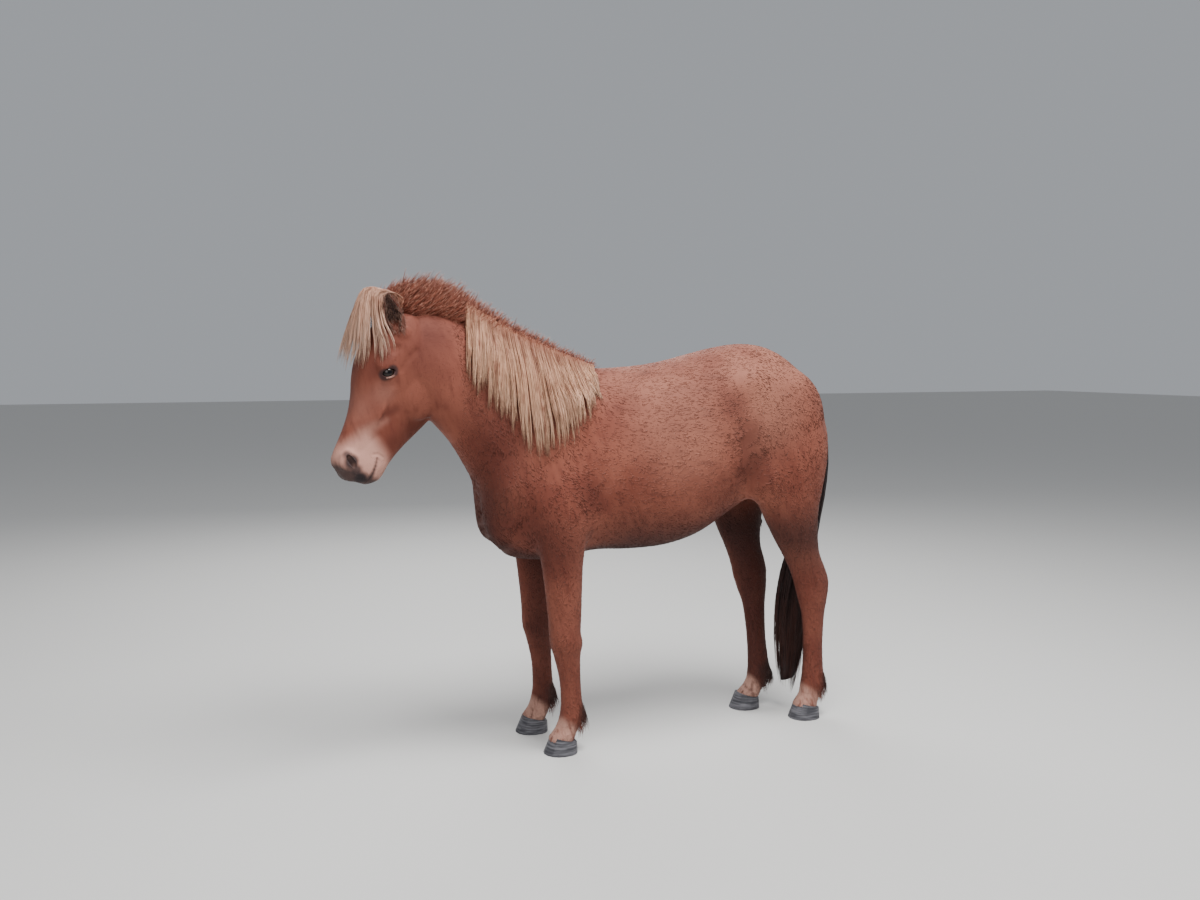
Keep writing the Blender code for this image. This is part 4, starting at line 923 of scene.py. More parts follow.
def coatColor(f):  # the chestnut coat, its markings and its bare skin, for skin and hair alike
    look = coatLook
    along, out, side = (f.along(way) - float(poll @ way) for way in (downFace, outFace, leftward))
    onHead = f.rise(out + along * headEnd["slope"], *headEnd["ends"])
    low = f.rise(f.z, 0.72, 0.42)
    cloud = f.noise(5.5, 3.0)
    ripple = f.noise(look["streak"], 3.0, (4.0, 2.0, 0.9), (0, 0.10, 0))
    fall = f.noise(look["streak"] * 1.6, 3.0, (1.0, 1.0, 5.0), (0, -0.25, 0))
    onFlank = f.rise(f.x, -0.22, -0.05) * f.rise(f.x, 0.36, 0.20) * f.rise(f.z, 0.74, 0.90)
    streak = ripple * onFlank + fall * (1 - onFlank)
    color = f.mix(f.rise(cloud + streak * 0.30, 0.45, 0.85), look["mid"], look["bright"])
    color = f.mix(f.rise(streak, 0.46, 0.30) * (onFlank * 0.40 + 0.22), color, look["deep"])
    # painted highlight: the top of the back and croup made lighter where the sky's light falls
    topLight = f.rise(f.z, 1.05, 1.30) * (1 - onHead) * f.rise(f.x, -0.30, -0.05)
    color = f.mix(topLight * (f.rise(cloud, 0.25, 0.65) * 0.35 + 0.20), color, look["paintedSheen"])
    # painted highlights and painted shade at the places listed above
    for marks, tint in ((paintedLightPlaces, look["paintedSheen"]), (paintedShadePlaces, look["deep"])):
        for (x, y, z), inner, outer, share in marks:
            both = f.maths("MAXIMUM", f.near((x, y, z), inner, outer), f.near((x, -y, z), inner, outer))
            color = f.mix(both * (1 - onHead) * share, color, tint)
    # painted shade under the belly, on the chest's front and on the inner faces of the legs
    belly = f.rise(f.z, 0.82, 0.64) * (1 - low) * f.rise(f.x, -0.25, -0.05)
    color = f.mix(belly * 0.85, color, look["shade"])
    chest = f.rise(f.x, -0.44, -0.54) * f.rise(f.z, 1.00, 0.80)
    color = f.mix(chest * 0.35, color, look["shade"])
    inner = f.rise(f.maths("ABSOLUTE", f.y), 0.125, 0.075) * f.rise(f.z, 0.84, 0.62)
    color = f.mix(inner * 0.75, color, look["shade"])
    color = f.mix(low * 0.25, color, look["deep"])
    # fetlocks dark behind, pasterns and coronets pale
    for name in legs["stance"]:
        x, y = hoofPlaces[name]
        back = f.near((x + 0.085, y, 0.125), 0.030, 0.060)
        color = f.mix(back * 0.85, color, look["fetlock"])
        pale = f.near((x - 0.004, y, 0.058), 0.048, 0.076) * f.rise(fall, 0.20, 0.55)
        color = f.mix(pale * 0.80, color, look["pastern"])
    # the head: painted shade towards the poll, a mealy muzzle with a painted highlight on the facial crest,
    # dark lips and nostrils, dark skin and painted shade round each eye
    face = f.node("ShaderNodeCombineXYZ", inputs={0: along, 1: out, 2: f.maths("ABSOLUTE", side)})
    # painted shade towards the poll, where the forelock shades the forehead
    color = f.mix(onHead * f.rise(along, 0.34, 0.10) * 0.35, color, look["deep"])
    for marks, tint in ((mealyAndLitFace, look["mealy"]), (paintedShadeFace, look["deep"])):
        for point, inner, outer, share in marks:
            color = f.mix(f.near(point, inner, outer, face) * share, color, tint)
    pale = f.rise(along - out * 0.9 + streak * 0.03, 0.395, 0.475) * f.rise(along + out * 0.675, 0.335, 0.400)
    color = f.mix(onHead * pale * 0.80, color, look["mealy"])
    lips = f.rise(along + out * 0.10 + streak * 0.02, 0.508, 0.532)
    color = f.mix(onHead * lips * 0.90, color, look["sootAndShade"])
    # dark skin round the nostrils and on the lips, and painted shade along the mouth's crease and round the
    # eyes
    sootAndShade = ((nostril["middle"], 0.014, 0.030, 0.90), *faceSootAndShade)
    for point, inner, outer, share in sootAndShade:
        color = f.mix(f.near(point, inner, outer, face) * share, color, look["sootAndShade"])
    color = f.mix(f.near(nostril["middle"], 0.005, 0.016, face) * 0.6, color, look["nostril"])
    for point in lowerLid:
        color = f.mix(f.near(point, 0.0010, 0.0052, face) * 0.70, color, look["mealy"])
    return color, streak


coatFinish = Finish("chestnut_coat", Roughness=0.68, Specular_IOR_Level=0.15,
                    Sheen_Weight=0.04, Sheen_Roughness=0.5)
color, streak = coatColor(coatFinish)
coatFinish.feed(coatFinish.shader.inputs["Base Color"], color)
fine = coatFinish.noise(420, 2.0, (3, 2, 3))
coatFinish.bump(streak * 0.25 + fine * 0.55, 0.25, 0.0025)

tuftFinish = Finish("chestnut_tufts", Roughness=0.62, Specular_IOR_Level=0.25)
tuftFinish.feed(tuftFinish.shader.inputs["Base Color"], coatColor(tuftFinish)[0])


def hairFinish(name, root, middle, tip, shade, rootEnd, shades=0.75):
    f = Finish(name, Roughness=0.50, Specular_IOR_Level=0.30)
    run = f.node("ShaderNodeUVMap", {"uv_map": "strand"})
    split = f.node("ShaderNodeSeparateXYZ", inputs={0: run})
    lot = Value(f, split.socket.node.outputs[0])  # each strand's own number
    down = Value(f, split.socket.node.outputs[1])  # from the root, 0, to the tip, 1
    color = f.mix(f.rise(down, 0.0, rootEnd), root, middle)
    color = f.mix(f.rise(down, 0.55, 1.0), color, tip)
    # a share of the strands is darker: the hair's own dark strands, which also stand in for painted shade in
    # the gaps between clumps
    color = f.mix(f.rise(lot, 0.50, 1.0) * shades, color, shade)
    color = f.mix(f.rise(f.noise(45, 2.0, (1, 1, 3)), 0.45, 0.75) * 0.45, color, root)
    f.feed(f.shader.inputs["Base Color"], color)
    f.bump(f.noise(500, 2.0, (1, 1, 6)), 0.25, 0.002)
    return f.material


# colours at the root, middle and tip and of the dark strands, then where the root's colour ends, and the
# share of the dark strands
maneFinish = hairFinish(
    "flaxen_mane", (0.200, 0.056, 0.030), (0.560, 0.300, 0.185), (0.680, 0.420, 0.280),
    (0.170, 0.052, 0.030), 0.50, 0.95)
forelockFinish = hairFinish(
    "flaxen_forelock", (0.260, 0.076, 0.040), (0.600, 0.350, 0.240), (0.760, 0.520, 0.390),
    (0.180, 0.056, 0.034), 0.58, 0.95)
crestFinish = hairFinish(
    "crest_hair", (0.120, 0.028, 0.017), (0.260, 0.072, 0.042), (0.540, 0.260, 0.170),
    (0.090, 0.024, 0.015), 0.5)
tailFinish = hairFinish(
    "tail_hair", (0.018, 0.008, 0.007), (0.016, 0.008, 0.008), (0.055, 0.018, 0.013),
    (0.006, 0.004, 0.004), 0.5)
earHairFinish = hairFinish(
    "ear_hair", (0.060, 0.030, 0.024), (0.260, 0.130, 0.095), (0.500, 0.330, 0.260),
    (0.080, 0.035, 0.026), 0.5)

print("finishes made")


# Strands


patchSize = 0.003  # of the unwrap's width


def strands(name, paths, sides, halfWidths, heights, roots, lots):
    # each strand is a closed blade: rings of three corners along its path, drawn to one point
    count, length, _ = paths.shape
    runs = unit(np.gradient(paths, axis=1))
    sides = unit(sides - runs * np.sum(sides * runs, axis=2, keepdims=True))
    tops = np.cross(sides, runs)
    wide = sides * halfWidths[..., None]
    corners = np.stack([paths - wide, paths + tops * heights[..., None], paths + wide], axis=2)[:, :-1]
    each = (length - 1) * 3 + 1
    verts = np.concatenate([corners.reshape(count, each - 1, 3), paths[:, -1:]], axis=1)
    quads, tris = [], [(0, 2, 1)]
    for r in range(length - 2):
        for k in range(3):
            n = (k + 1) % 3
            quads.append((r * 3 + k, r * 3 + n, r * 3 + 3 + n, r * 3 + 3 + k))
    last = (length - 2) * 3
    tris += [(last + k, last + (k + 1) % 3, each - 1) for k in range(3)]
    one = np.array([v for face in quads + tris for v in face])
    sizes = np.array([4] * len(quads) + [3] * len(tris))
    loops = (one[None, :] + (np.arange(count) * each)[:, None]).ravel()
    mesh = bpy.data.meshes.new(name)
    mesh.vertices.add(count * each)
    mesh.vertices.foreach_set("co", verts.ravel())
    mesh.loops.add(len(loops))
    mesh.loops.foreach_set("vertex_index", loops)
    mesh.polygons.add(count * len(sizes))
    mesh.polygons.foreach_set("loop_start", np.concatenate(([0], np.cumsum(np.tile(sizes, count))[:-1])))
    # OFBake: a small patch at the root's place on the skin's unwrap. strand: its lot, and how far down it is
    down = np.append(np.repeat(np.arange(length - 1), 3), length - 1) / (length - 1)
    across = np.append(np.tile((0.0, 0.5, 1.0), length - 1), 0.5)
    patch = roots[:, None, :] + patchSize * np.stack([across, down], axis=1)[None]
    own = np.stack([np.repeat(lots[:, None], each, axis=1), np.tile(down, (count, 1))], axis=2)
    for title, values in (("OFBake", patch), ("strand", own)):
        layer = mesh.uv_layers.new(name=title)
        layer.data.foreach_set("uv", values.reshape(-1, 2)[loops].ravel())
    mesh.update(calc_edges=True)
    mesh.shade_smooth()
    obj = bpy.data.objects.new(name, mesh)
    bpy.context.scene.collection.objects.link(obj)
    return obj


skinFaces = np.empty(len(skin.data.polygons) * 3, int)
skin.data.polygons.foreach_get("vertices", skinFaces)
skinFaces = skinFaces.reshape(-1, 3)
skinPlaces, skinNormals = places(skin), normals(skin)
unwrap = np.empty(len(skin.data.loops) * 2)
skin.data.uv_layers["OFBake"].data.foreach_get("uv", unwrap)
unwrap = unwrap.reshape(-1, 3, 2)
faceCorners = skinPlaces[skinFaces]
faceMiddles = faceCorners.mean(axis=1)
faceAreas = np.linalg.norm(
    np.cross(faceCorners[:, 1] - faceCorners[:, 0], faceCorners[:, 2] - faceCorners[:, 0]), axis=1) / 2


def scatter(density):  # roots all over the skin: density gives the tufts per square metre at a face's middle
    wanted = density(faceMiddles) * faceAreas
    total = int(wanted.sum())
    steps = (np.arange(total) + draw.uniform(0, 1, total)) / total
    faces = np.searchsorted(np.cumsum(wanted) / wanted.sum(), steps)
    faces = np.minimum(faces, len(skinFaces) - 1)
    a, b = draw.uniform(0, 1, total), draw.uniform(0, 1, total)
    over = a + b > 1
    a[over], b[over] = 1 - a[over], 1 - b[over]
    shares = np.stack([1 - a - b, a, b], axis=1)[..., None]
    at = (skinPlaces[skinFaces[faces]] * shares).sum(axis=1)
    out = unit((skinNormals[skinFaces[faces]] * shares).sum(axis=1))
    return at, out, (unwrap[faces] * shares).sum(axis=1)


def patchOf(points):  # the unwrap's place nearest to each point
    found = []
    for point in points:
        face = surface.find_nearest(Vector(point))[2]
        found.append(unwrap[face].mean(axis=0))
    return np.array(found)


# Short coat

coat = {
    "flow": (  # place along the horse, then how much the hair runs back and down there
        (-0.56, 0.15, -1.0), (-0.42, 0.35, -1.0), (-0.28, 0.70, -0.75), (-0.10, 1.0, -0.35),
        (0.15, 1.0, -0.22), (0.32, 1.0, -0.40), (0.45, 0.75, -0.80), (0.60, 0.35, -1.0), (0.72, 0.05, -1.0),
    ),
    "trunk": (0.0071, 0.014, 0.0029, 0.0010),  # spacing, length, width and lift of the tufts
    "leg": (0.0059, 0.012, 0.0024, 0.0010),
    "face": (0.0035, 0.0075, 0.0015, 0.0009),
    "lowest": 0.050,
    "legTop": (0.72, 0.56),
    "sink": 0.0006,
    "bend": 2.2,
    "thick": 0.30,
}


def coatSizes(points):  # these sizes run into one another at the throat and at the top of the legs
    local = inHead(points)
    onHead = rise(local[:, 1] + headEnd["slope"] * local[:, 0], *headEnd["coatEnds"])[:, None]
    onLeg = rise(points[:, 2], *coat["legTop"])[:, None]
    sizes = np.array(coat["trunk"]) * (1 - onLeg) + np.array(coat["leg"]) * onLeg
    return (sizes * (1 - onHead) + np.array(coat["face"]) * onHead).T


def lie(points, outwards):  # the way the coat lies
    flow = np.array(coat["flow"])
    back = np.interp(points[:, 0], flow[:, 0], flow[:, 1])
    down = np.interp(points[:, 0], flow[:, 0], flow[:, 2])
    way = np.stack([back, 0 * back, down], axis=1)
    onNeck = (rise(-points[:, 0], 0.30, 0.50) * rise(points[:, 2], 0.90, 1.05))[:, None]
    way = way * (1 - onNeck) + np.array((0.55, 0, -0.85)) * onNeck
    onLeg = rise(0.72 - points[:, 2], 0, 0.12)[:, None] * (np.abs(points[:, 1]) > 0.03)[:, None]
    inLeg = onLeg * (rise(np.abs(points[:, 0] - 0.09), 0.24, 0.30))[:, None]
    way = way * (1 - inLeg) + np.array((0.10, 0, -1.0)) * inLeg
    belly = (rise(-outwards[:, 2], 0.3, 0.8) * (1 - inLeg[:, 0]))[:, None]
    way = way * (1 - belly) + np.array((1.0, 0, 0)) * belly
    local = inHead(points)
    onHead = headness(points)[:, None]
    cheek = rise(-local[:, 1], 0.03, 0.14)[:, None]
    faceWay = downFace * (1 - 0.3 * cheek) - outFace * 0.75 * cheek
    way = way * (1 - onHead) + faceWay * onHead
    way = unit(way - outwards * np.sum(way * outwards, axis=1, keepdims=True))
    turn = 0.30 * wander(points, 0.22, 1) + 0.22 * wander(points, 0.07, 2) + draw.normal(0, 0.13, len(points))
    return way * np.cos(turn)[:, None] + np.cross(outwards, way) * np.sin(turn)[:, None]


def bareness(points):  # true where no hair grows: lids, nostrils, lips and below the coronets
    bare = np.zeros(len(points), bool)
    local = inHead(points)
    for side in (-1, 1):
        inside = inEye(points, side)
        reach = np.hypot(*(inside[:, k] / (eye["opening"][k] + eye["bareLid"]) for k in range(2)))
        bare |= (reach < 1) & (inside[:, 2] > 0) & (inside[:, 2] < 0.05)
        bare |= np.linalg.norm(inside, axis=1) < eye["radius"] + 0.0025
    local[:, 2] = np.abs(local[:, 2])
    bare |= np.linalg.norm(local - np.array(nostril["middle"]), axis=1) < nostril["bare"]
    bare |= lineReach(local, mouth["line"]) < mouth["bare"]
    bare |= points[:, 2] < coat["lowest"]
    return bare


def shortCoat(name, chosen, rings):
    at, out, patch = scatter(lambda middles: np.where(chosen(middles), 1 / coatSizes(middles)[0] ** 2, 0.0))
    keep = ~bareness(at)
    at, out, patch = at[keep], out[keep], patch[keep]
    way = lie(at, out)
    count = len(at)
    size = draw.uniform(0.7, 1.25, count) * (1 + 0.2 * wander(at, 0.12, 4))
    _, length, width, lift = coatSizes(at)
    length = length * size
    lift = lift * draw.uniform(0.4, 1.4, count)
    down = np.linspace(0, 1, rings)
    # the blade leaves the skin, bends over and lies along it
    paths = (at[:, None] - out[:, None] * coat["sink"] + way[:, None] * (length[:, None] * down)[..., None]
             + out[:, None] * (lift[:, None] * np.sin(down * coat["bend"]))[..., None])
    side = np.repeat(np.cross(way, out)[:, None], rings, axis=1)
    shape = np.array((0.85, 1.0, 0.0) if rings == 3 else (1.0, 0.0))
    wide = (width / 2 * draw.uniform(0.75, 1.25, count))[:, None] * shape
    return strands(name, paths, side, wide, wide * coat["thick"], patch, draw.uniform(0, 1, count))


borders = {"head": 0.5, "legTop": 0.64, "shoulder": -0.2}


def onTrunk(p):
    return (headness(p) < borders["head"]) & (p[:, 2] >= borders["legTop"])


def onLegs(p):
    return (headness(p) < borders["head"]) & (p[:, 2] < borders["legTop"])


def behind(p):
    return p[:, 0] >= borders["shoulder"]


regions = (  # each coat piece: its name, where it grows, and the rings in a tuft
    ("coat_trunk_near", lambda p: onTrunk(p) & behind(p) & (p[:, 1] < 0), 3),
    ("coat_trunk_far", lambda p: onTrunk(p) & behind(p) & (p[:, 1] >= 0), 3),
    ("coat_neck_near", lambda p: onTrunk(p) & ~behind(p) & (p[:, 1] < 0), 3),
    ("coat_neck_far", lambda p: onTrunk(p) & ~behind(p) & (p[:, 1] >= 0), 3),
    ("coat_legs_fore", lambda p: onLegs(p) & (p[:, 0] < 0), 3),
    ("coat_legs_hind", lambda p: onLegs(p) & (p[:, 0] >= 0), 3),
    ("coat_head", lambda p: headness(p) >= borders["head"], 2),
)
for name, chosen, rings in regions:
    piece = shortCoat(name, chosen, rings)
    done(piece, tuftFinish.material, "coat")
    print(name, triangles(piece), "triangles")


# Mane

crest = {  # the roll of hair that stands along the neck: place, height and half width
    "roll": (
        (-0.862, 0.040, 0.012), (-0.838, 0.084, 0.026), (-0.770, 0.102, 0.034), (-0.700, 0.098, 0.035),
        (-0.630, 0.086, 0.033), (-0.560, 0.058, 0.030), (-0.480, 0.042, 0.028), (-0.400, 0.034, 0.026),
        (-0.300, 0.027, 0.024), (-0.220, 0.021, 0.020), (-0.150, 0.010, 0.012),
    ),
    "core": 0.74,
}


def crestTop(x):
    stations = np.array(neck["stations"])[::-1]
    z = np.interp(x, stations[:, 0], stations[:, 1])
    y = np.interp(x, stations[:, 0], stations[:, 5])
    return np.array(surface.ray_cast(Vector((x, y, z + 0.3)), Vector((0, 0, -1)))[0])


def rollHeight(x):
    rows = np.array(crest["roll"])
    return np.interp(x, rows[:, 0], rows[:, 1])


def hangingLine(x, side, length, drift, standOff, count=9):
    top, high = crestTop(x), rollHeight(x)
    line = [
        top + (0, -side * 0.004, high * 0.25),
        top + (0, side * 0.006, high * 0.80),
        top + (drift * 0.03, side * 0.026, high * 0.86),
    ]
    furthest = 0.040
    for k in range(1, count):
        t = k / (count - 1)
        here = np.array((x + drift * t, top[1] + side, top[2] + high * 0.8 - 0.012 - length * t))
        hit = surface.ray_cast(Vector(here), Vector((0, -side, 0)), 1.0)[0]
        if hit:
            furthest = max(furthest, abs(hit.y - top[1]) + standOff)
        line.append(np.array((here[0], top[1] + side * furthest, here[2])))
    return np.array(line)


maneNear = {
    "side": -1, "clumps": 92, "strands": 28, "spread": 0.024, "gather": 0.22, "width": 0.0034, "rings": 12,
    "wave": 0.004,
    "stations": (
        (-0.580, 0.225, -0.018), (-0.560, 0.250, -0.022), (-0.544, 0.265, -0.022), (-0.505, 0.285, -0.022),
        (-0.463, 0.315, -0.010), (-0.423, 0.385, 0.006), (-0.373, 0.370, 0.010), (-0.313, 0.305, 0.010),
        (-0.265, 0.230, 0.014), (-0.210, 0.150, 0.012), (-0.168, 0.070, 0.010),
    ),
}
maneFar = {
    "side": 1, "clumps": 50, "strands": 26, "spread": 0.034, "gather": 0.34, "width": 0.0040, "rings": 11,
    "wave": 0.004,
    "stations": (
        (-0.790, 0.150, 0.010), (-0.720, 0.250, 0.015), (-0.650, 0.310, 0.030), (-0.580, 0.300, 0.045),
        (-0.500, 0.220, 0.060), (-0.440, 0.140, 0.060),
    ),
}


guideSteps = 24


def clumpStrands(guide, count, across, face, spread, gather, width, rings, wave):
    # strands start side by side and draw together towards the clump's tip
    paths, halfWidths = [], []
    for k in range(count):
        share = draw.uniform(0.72, 1.03)
        down = np.linspace(0, 1, rings)
        fine = np.linspace(0, 1, len(guide))
        path = np.stack([np.interp(down * share, fine, guide[:, c]) for c in range(3)], axis=1)
        sideways, off = draw.uniform(-1, 1), draw.uniform(0, 1)
        close = spread * (1 - (1 - gather) * down**1.3)
        path += across * (sideways * close)[:, None]
        path += face * (off * 0.010 * np.sin(down * math.pi * 0.9))[:, None]
        phase, turns = draw.uniform(0, 6.28), draw.uniform(0.8, 2.0)
        path += across * (wave * down * np.sin(phase + turns * 6.28 * down))[:, None]
        path += face * (0.6 * wave * down * np.sin(phase * 2 + turns * 5 * down))[:, None]
        paths.append(path)
        taper = np.interp(down, (0, 0.15, 0.7, 1), (0.8, 1, 0.8, 0.1))
        halfWidths.append(width / 2 * draw.uniform(0.7, 1.3) * taper)
    return paths, halfWidths


def gathered(name, clumps, finish, slot, *nodes):
    paths, sides, halfWidths, lots = [], [], [], []
    for clumpPaths, clumpWidths, across in clumps:
        lot = draw.uniform(0, 1)
        for path, wide in zip(clumpPaths, clumpWidths):
            paths.append(path)
            halfWidths.append(wide)
            turn = draw.normal(0, 0.5)
            run = unit(path[-1] - path[0])
            side = across * math.cos(turn) + np.cross(run, across) * math.sin(turn)
            sides.append(np.tile(side, (len(path), 1)))
            lots.append(np.clip(0.4 * lot + 0.6 * draw.uniform(0, 1), 0, 1))
    paths, halfWidths = np.array(paths), np.array(halfWidths)
    obj = strands(name, paths, np.array(sides), halfWidths, halfWidths * 0.7, patchOf(paths[:, 0]),
                  np.array(lots))
    print(name, len(paths), "strands,", triangles(obj), "triangles")
    return done(obj, finish, slot, *nodes)


def maneClumps(mane):
    stations = np.array(mane["stations"])
    first, last = stations[0, 0], stations[-1, 0]
    for k in range(mane["clumps"]):
        x = first + (last - first) * np.clip((k + draw.uniform(-0.6, 0.6)) / (mane["clumps"] - 1), 0, 1)
        length, drift = (np.interp(x, stations[:, 0], stations[:, c]) for c in (1, 2))
        guide = hangingLine(
            x, mane["side"], length * draw.uniform(0.80, 1.04),
            drift * draw.uniform(0.8, 1.25) + draw.uniform(-0.012, 0.012), 0.006 + 0.010 * draw.uniform(0, 1))
        guide = evenly(guide, guideSteps)
        across = unit(crestTop(x + 0.02) - crestTop(x - 0.02))
        face = np.array((0, mane["side"], 0.15))
        made = clumpStrands(guide, mane["strands"], across, face, mane["spread"] / 2 * draw.uniform(0.7, 1.3),
                            mane["gather"], mane["width"], mane["rings"], mane["wave"])
        yield (*made, across)


gathered("mane_near", maneClumps(maneNear), maneFinish, "mane_hair")
gathered("mane_far", maneClumps(maneFar), maneFinish, "mane_hair")

rows = fair(crest["roll"], 4)
tops = np.array([crestTop(min(max(x, -0.80), -0.10)) + (0, 0, high * 0.25) for x, high, wide in rows])
rings = []
for k, (x, high, wide) in enumerate(rows):
    run = tops[min(k + 1, len(tops) - 1)] - tops[max(k - 1, 0)] + (0.001, 0, 0)
    up = unit(np.array((-run[2], 0, run[0])))
    middle = np.array((x, tops[k][1], tops[k][2]))
    rings.append(ring(middle, up, np.array((0, 1.0, 0)), high * 0.72 * crest["core"], 0.050, wide * 0.85,
                      1.8, 1.6, 32))
roll = loft("crest_roll", rings)
applied(roll, "SUBSURF", levels=1, render_levels=1)
roll.data.shade_smooth()

crestHair = {"count": 8200, "length": 0.048, "width": 0.0019, "rings": 5}


def crestPaths():
    faces = roll.data.polygons
    areas = np.array([face.area for face in faces])
    middles = np.array([face.center for face in faces])
    outs = np.array([face.normal for face in faces])
    areas = areas * (outs[:, 2] > -0.80) * (middles[:, 0] > -0.86)
    chosen = draw.choice(len(areas), crestHair["count"], p=areas / areas.sum())
    at = middles[chosen] + draw.normal(0, 0.003, (len(chosen), 3))
    out = outs[chosen]
    # the hair stands up, leans back and falls over to the far side
    upLean = np.array((0.55, 0.10, 0.55))
    way = unit(upLean - out * (out @ upLean)[:, None] * 0.6 + draw.normal(0, 0.16, (len(chosen), 3)))
    size = np.interp(at[:, 0], (-0.85, -0.75, -0.60, -0.45, -0.15), (0.9, 1.1, 1.0, 0.8, 0.55))
    length = crestHair["length"] * size * draw.uniform(0.6, 1.2, len(chosen))
    down = np.linspace(0, 1, crestHair["rings"])
    lift = np.sin(down * 2.4) * 0.22
    paths = at[:, None] + way[:, None] * (length[:, None] * down)[..., None] + (
        out[:, None] * (length[:, None] * lift)[..., None])
    return paths, np.cross(way, out)


paths, side = crestPaths()
wide = crestHair["width"] / 2 * draw.uniform(0.7, 1.3, len(paths))[:, None] * np.interp(
    np.linspace(0, 1, crestHair["rings"]), (0, 0.3, 1), (0.8, 1.0, 0.1))
piece = strands("mane_crest", paths, np.repeat(side[:, None], crestHair["rings"], axis=1), wide, wide * 0.6,
                patchOf(paths[:, 0]), draw.uniform(0, 1, len(paths)))
done(piece, crestFinish, "mane_hair")
done(roll, coatFinish.material, "mane_hair")
print("mane done")


# Forelock

forelock = {
    "clumps": 46, "strands": 22, "spread": 0.013, "gather": 0.25, "width": 0.0030, "rings": 12,
    "wave": 0.003,
    "root": (0.045, -0.010),
    "arch": ((-0.016, 0.012), (-0.032, 0.046), (-0.010, 0.082)),
    "ends": (
        (-1.00, 0.190, 0.050, -0.098), (-0.50, 0.232, 0.080, -0.060), (0.00, 0.240, 0.074, 0.000),
        (0.50, 0.225, 0.048, 0.054), (1.00, 0.180, -0.010, 0.098),
    ),
}


def forelockClumps():
    ends = np.array(forelock["ends"])
    for k in range(forelock["clumps"]):
        fan = np.clip(-1 + 2 * (k + draw.uniform(-0.8, 0.8)) / (forelock["clumps"] - 1), -1, 1)
        along, out, beside = (np.interp(fan, ends[:, 0], ends[:, c]) for c in (1, 2, 3))
        along *= draw.uniform(0.80, 1.04)
        lift, rootSide = draw.uniform(-0.010, 0.006), 0.026 * fan
        line = [headPoint(*forelock["root"], rootSide * 0.8)]
        for archAlong, archOut in forelock["arch"]:
            line.append(headPoint(archAlong, archOut + lift - 0.030 * fan * fan, rootSide * 1.3))
        browOut = max(out, 0.03) * 0.55 + 0.045 + lift - 0.026 * fan * fan
        line.append(headPoint(along * 0.42, browOut, beside * 0.66))
        line.append(headPoint(along * 0.75, out * 0.9 + 0.010 + lift, beside * 0.92))
        line.append(headPoint(along, out + lift, beside))
        guide = evenly(np.array(line), guideSteps)
        across = unit(leftward - outFace * (fan * 0.9))
        face = unit(np.cross(across, downFace))
        face = face if face @ outFace > 0 else -face
        made = clumpStrands(guide, forelock["strands"], across, face, forelock["spread"] / 2,
                            forelock["gather"], forelock["width"], forelock["rings"], forelock["wave"])
        yield (*made, across)


gathered("forelock", forelockClumps(), forelockFinish, "mane_hair")


# Tail

tail = {  # middle line from the dock, half width across and half depth
    "stations": (
        (0.640, 0.000, 1.120, 0.026, 0.022), (0.694, 0.000, 1.078, 0.034, 0.028),
        (0.722, 0.000, 1.010, 0.048, 0.030), (0.724, 0.000, 0.920, 0.058, 0.032),
        (0.714, -0.002, 0.820, 0.058, 0.034), (0.694, -0.005, 0.720, 0.050, 0.040),
        (0.662, -0.006, 0.610, 0.044, 0.052), (0.634, -0.006, 0.500, 0.044, 0.064),
        (0.620, -0.004, 0.380, 0.044, 0.068), (0.614, -0.004, 0.240, 0.042, 0.064),
        (0.610, -0.004, 0.120, 0.032, 0.046), (0.608, -0.004, 0.055, 0.016, 0.020),
    ),
    "clumps": 70, "strands": 30, "spread": 0.012, "gather": 0.55, "width": 0.0042, "rings": 15,
    "wave": 0.004,
    "core": 0.62,
}


def tailPoint(share, around, spread):
    rows = np.array(tail["stations"])
    x, y, z, wide, deep = (np.interp(share * (len(rows) - 1), range(len(rows)), rows[:, c]) for c in range(5))
    return np.array((x + math.sin(around) * deep * spread, y + math.cos(around) * wide * spread, z))


def tailClumps():
    for k in range(tail["clumps"]):
        around = draw.uniform(0, 2 * math.pi)
        start, end = draw.uniform(0.02, 0.40), draw.uniform(0.78, 1.0)
        reach = draw.uniform(0.55, 0.92)
        shares = np.linspace(start, end, 9)
        spreads = reach * np.interp(np.linspace(0, 1, 9), (0, 0.15, 1), (0.3, 0.9, 1.0))
        line = [tailPoint(s, around + 0.25 * s, w) for s, w in zip(shares, spreads)]
        guide = evenly(np.array(line), guideSteps)
        across = np.array((math.cos(around), -math.sin(around), 0))
        face = np.array((math.sin(around), math.cos(around), 0))
        made = clumpStrands(guide, tail["strands"], across, face * 0.5, tail["spread"], tail["gather"],
                            tail["width"], tail["rings"], tail["wave"])
        yield (*made, across)


gathered("tail_hair", tailClumps(), tailFinish, "tail_hair", "tail")
coreRings = []
for x, y, z, wide, deep in fair(tail["stations"][:-1], 3):
    wide, deep = wide * tail["core"], deep * tail["core"]
    coreRings.append(ring((x, y, z), unit(np.array((1, 0, 0.35))), np.array((0, 1.0, 0)), deep, deep, wide))
core = loft("tail_core", coreRings)
core.data.shade_smooth()
for title in ("OFBake", "strand"):
    core.data.uv_layers.new(name=title)
done(core, tailFinish, "tail_hair")


# Longer hair behind the fetlocks

feather = {"strands": 420, "from": 0.165, "to": 0.080, "length": 0.042, "width": 0.0022}


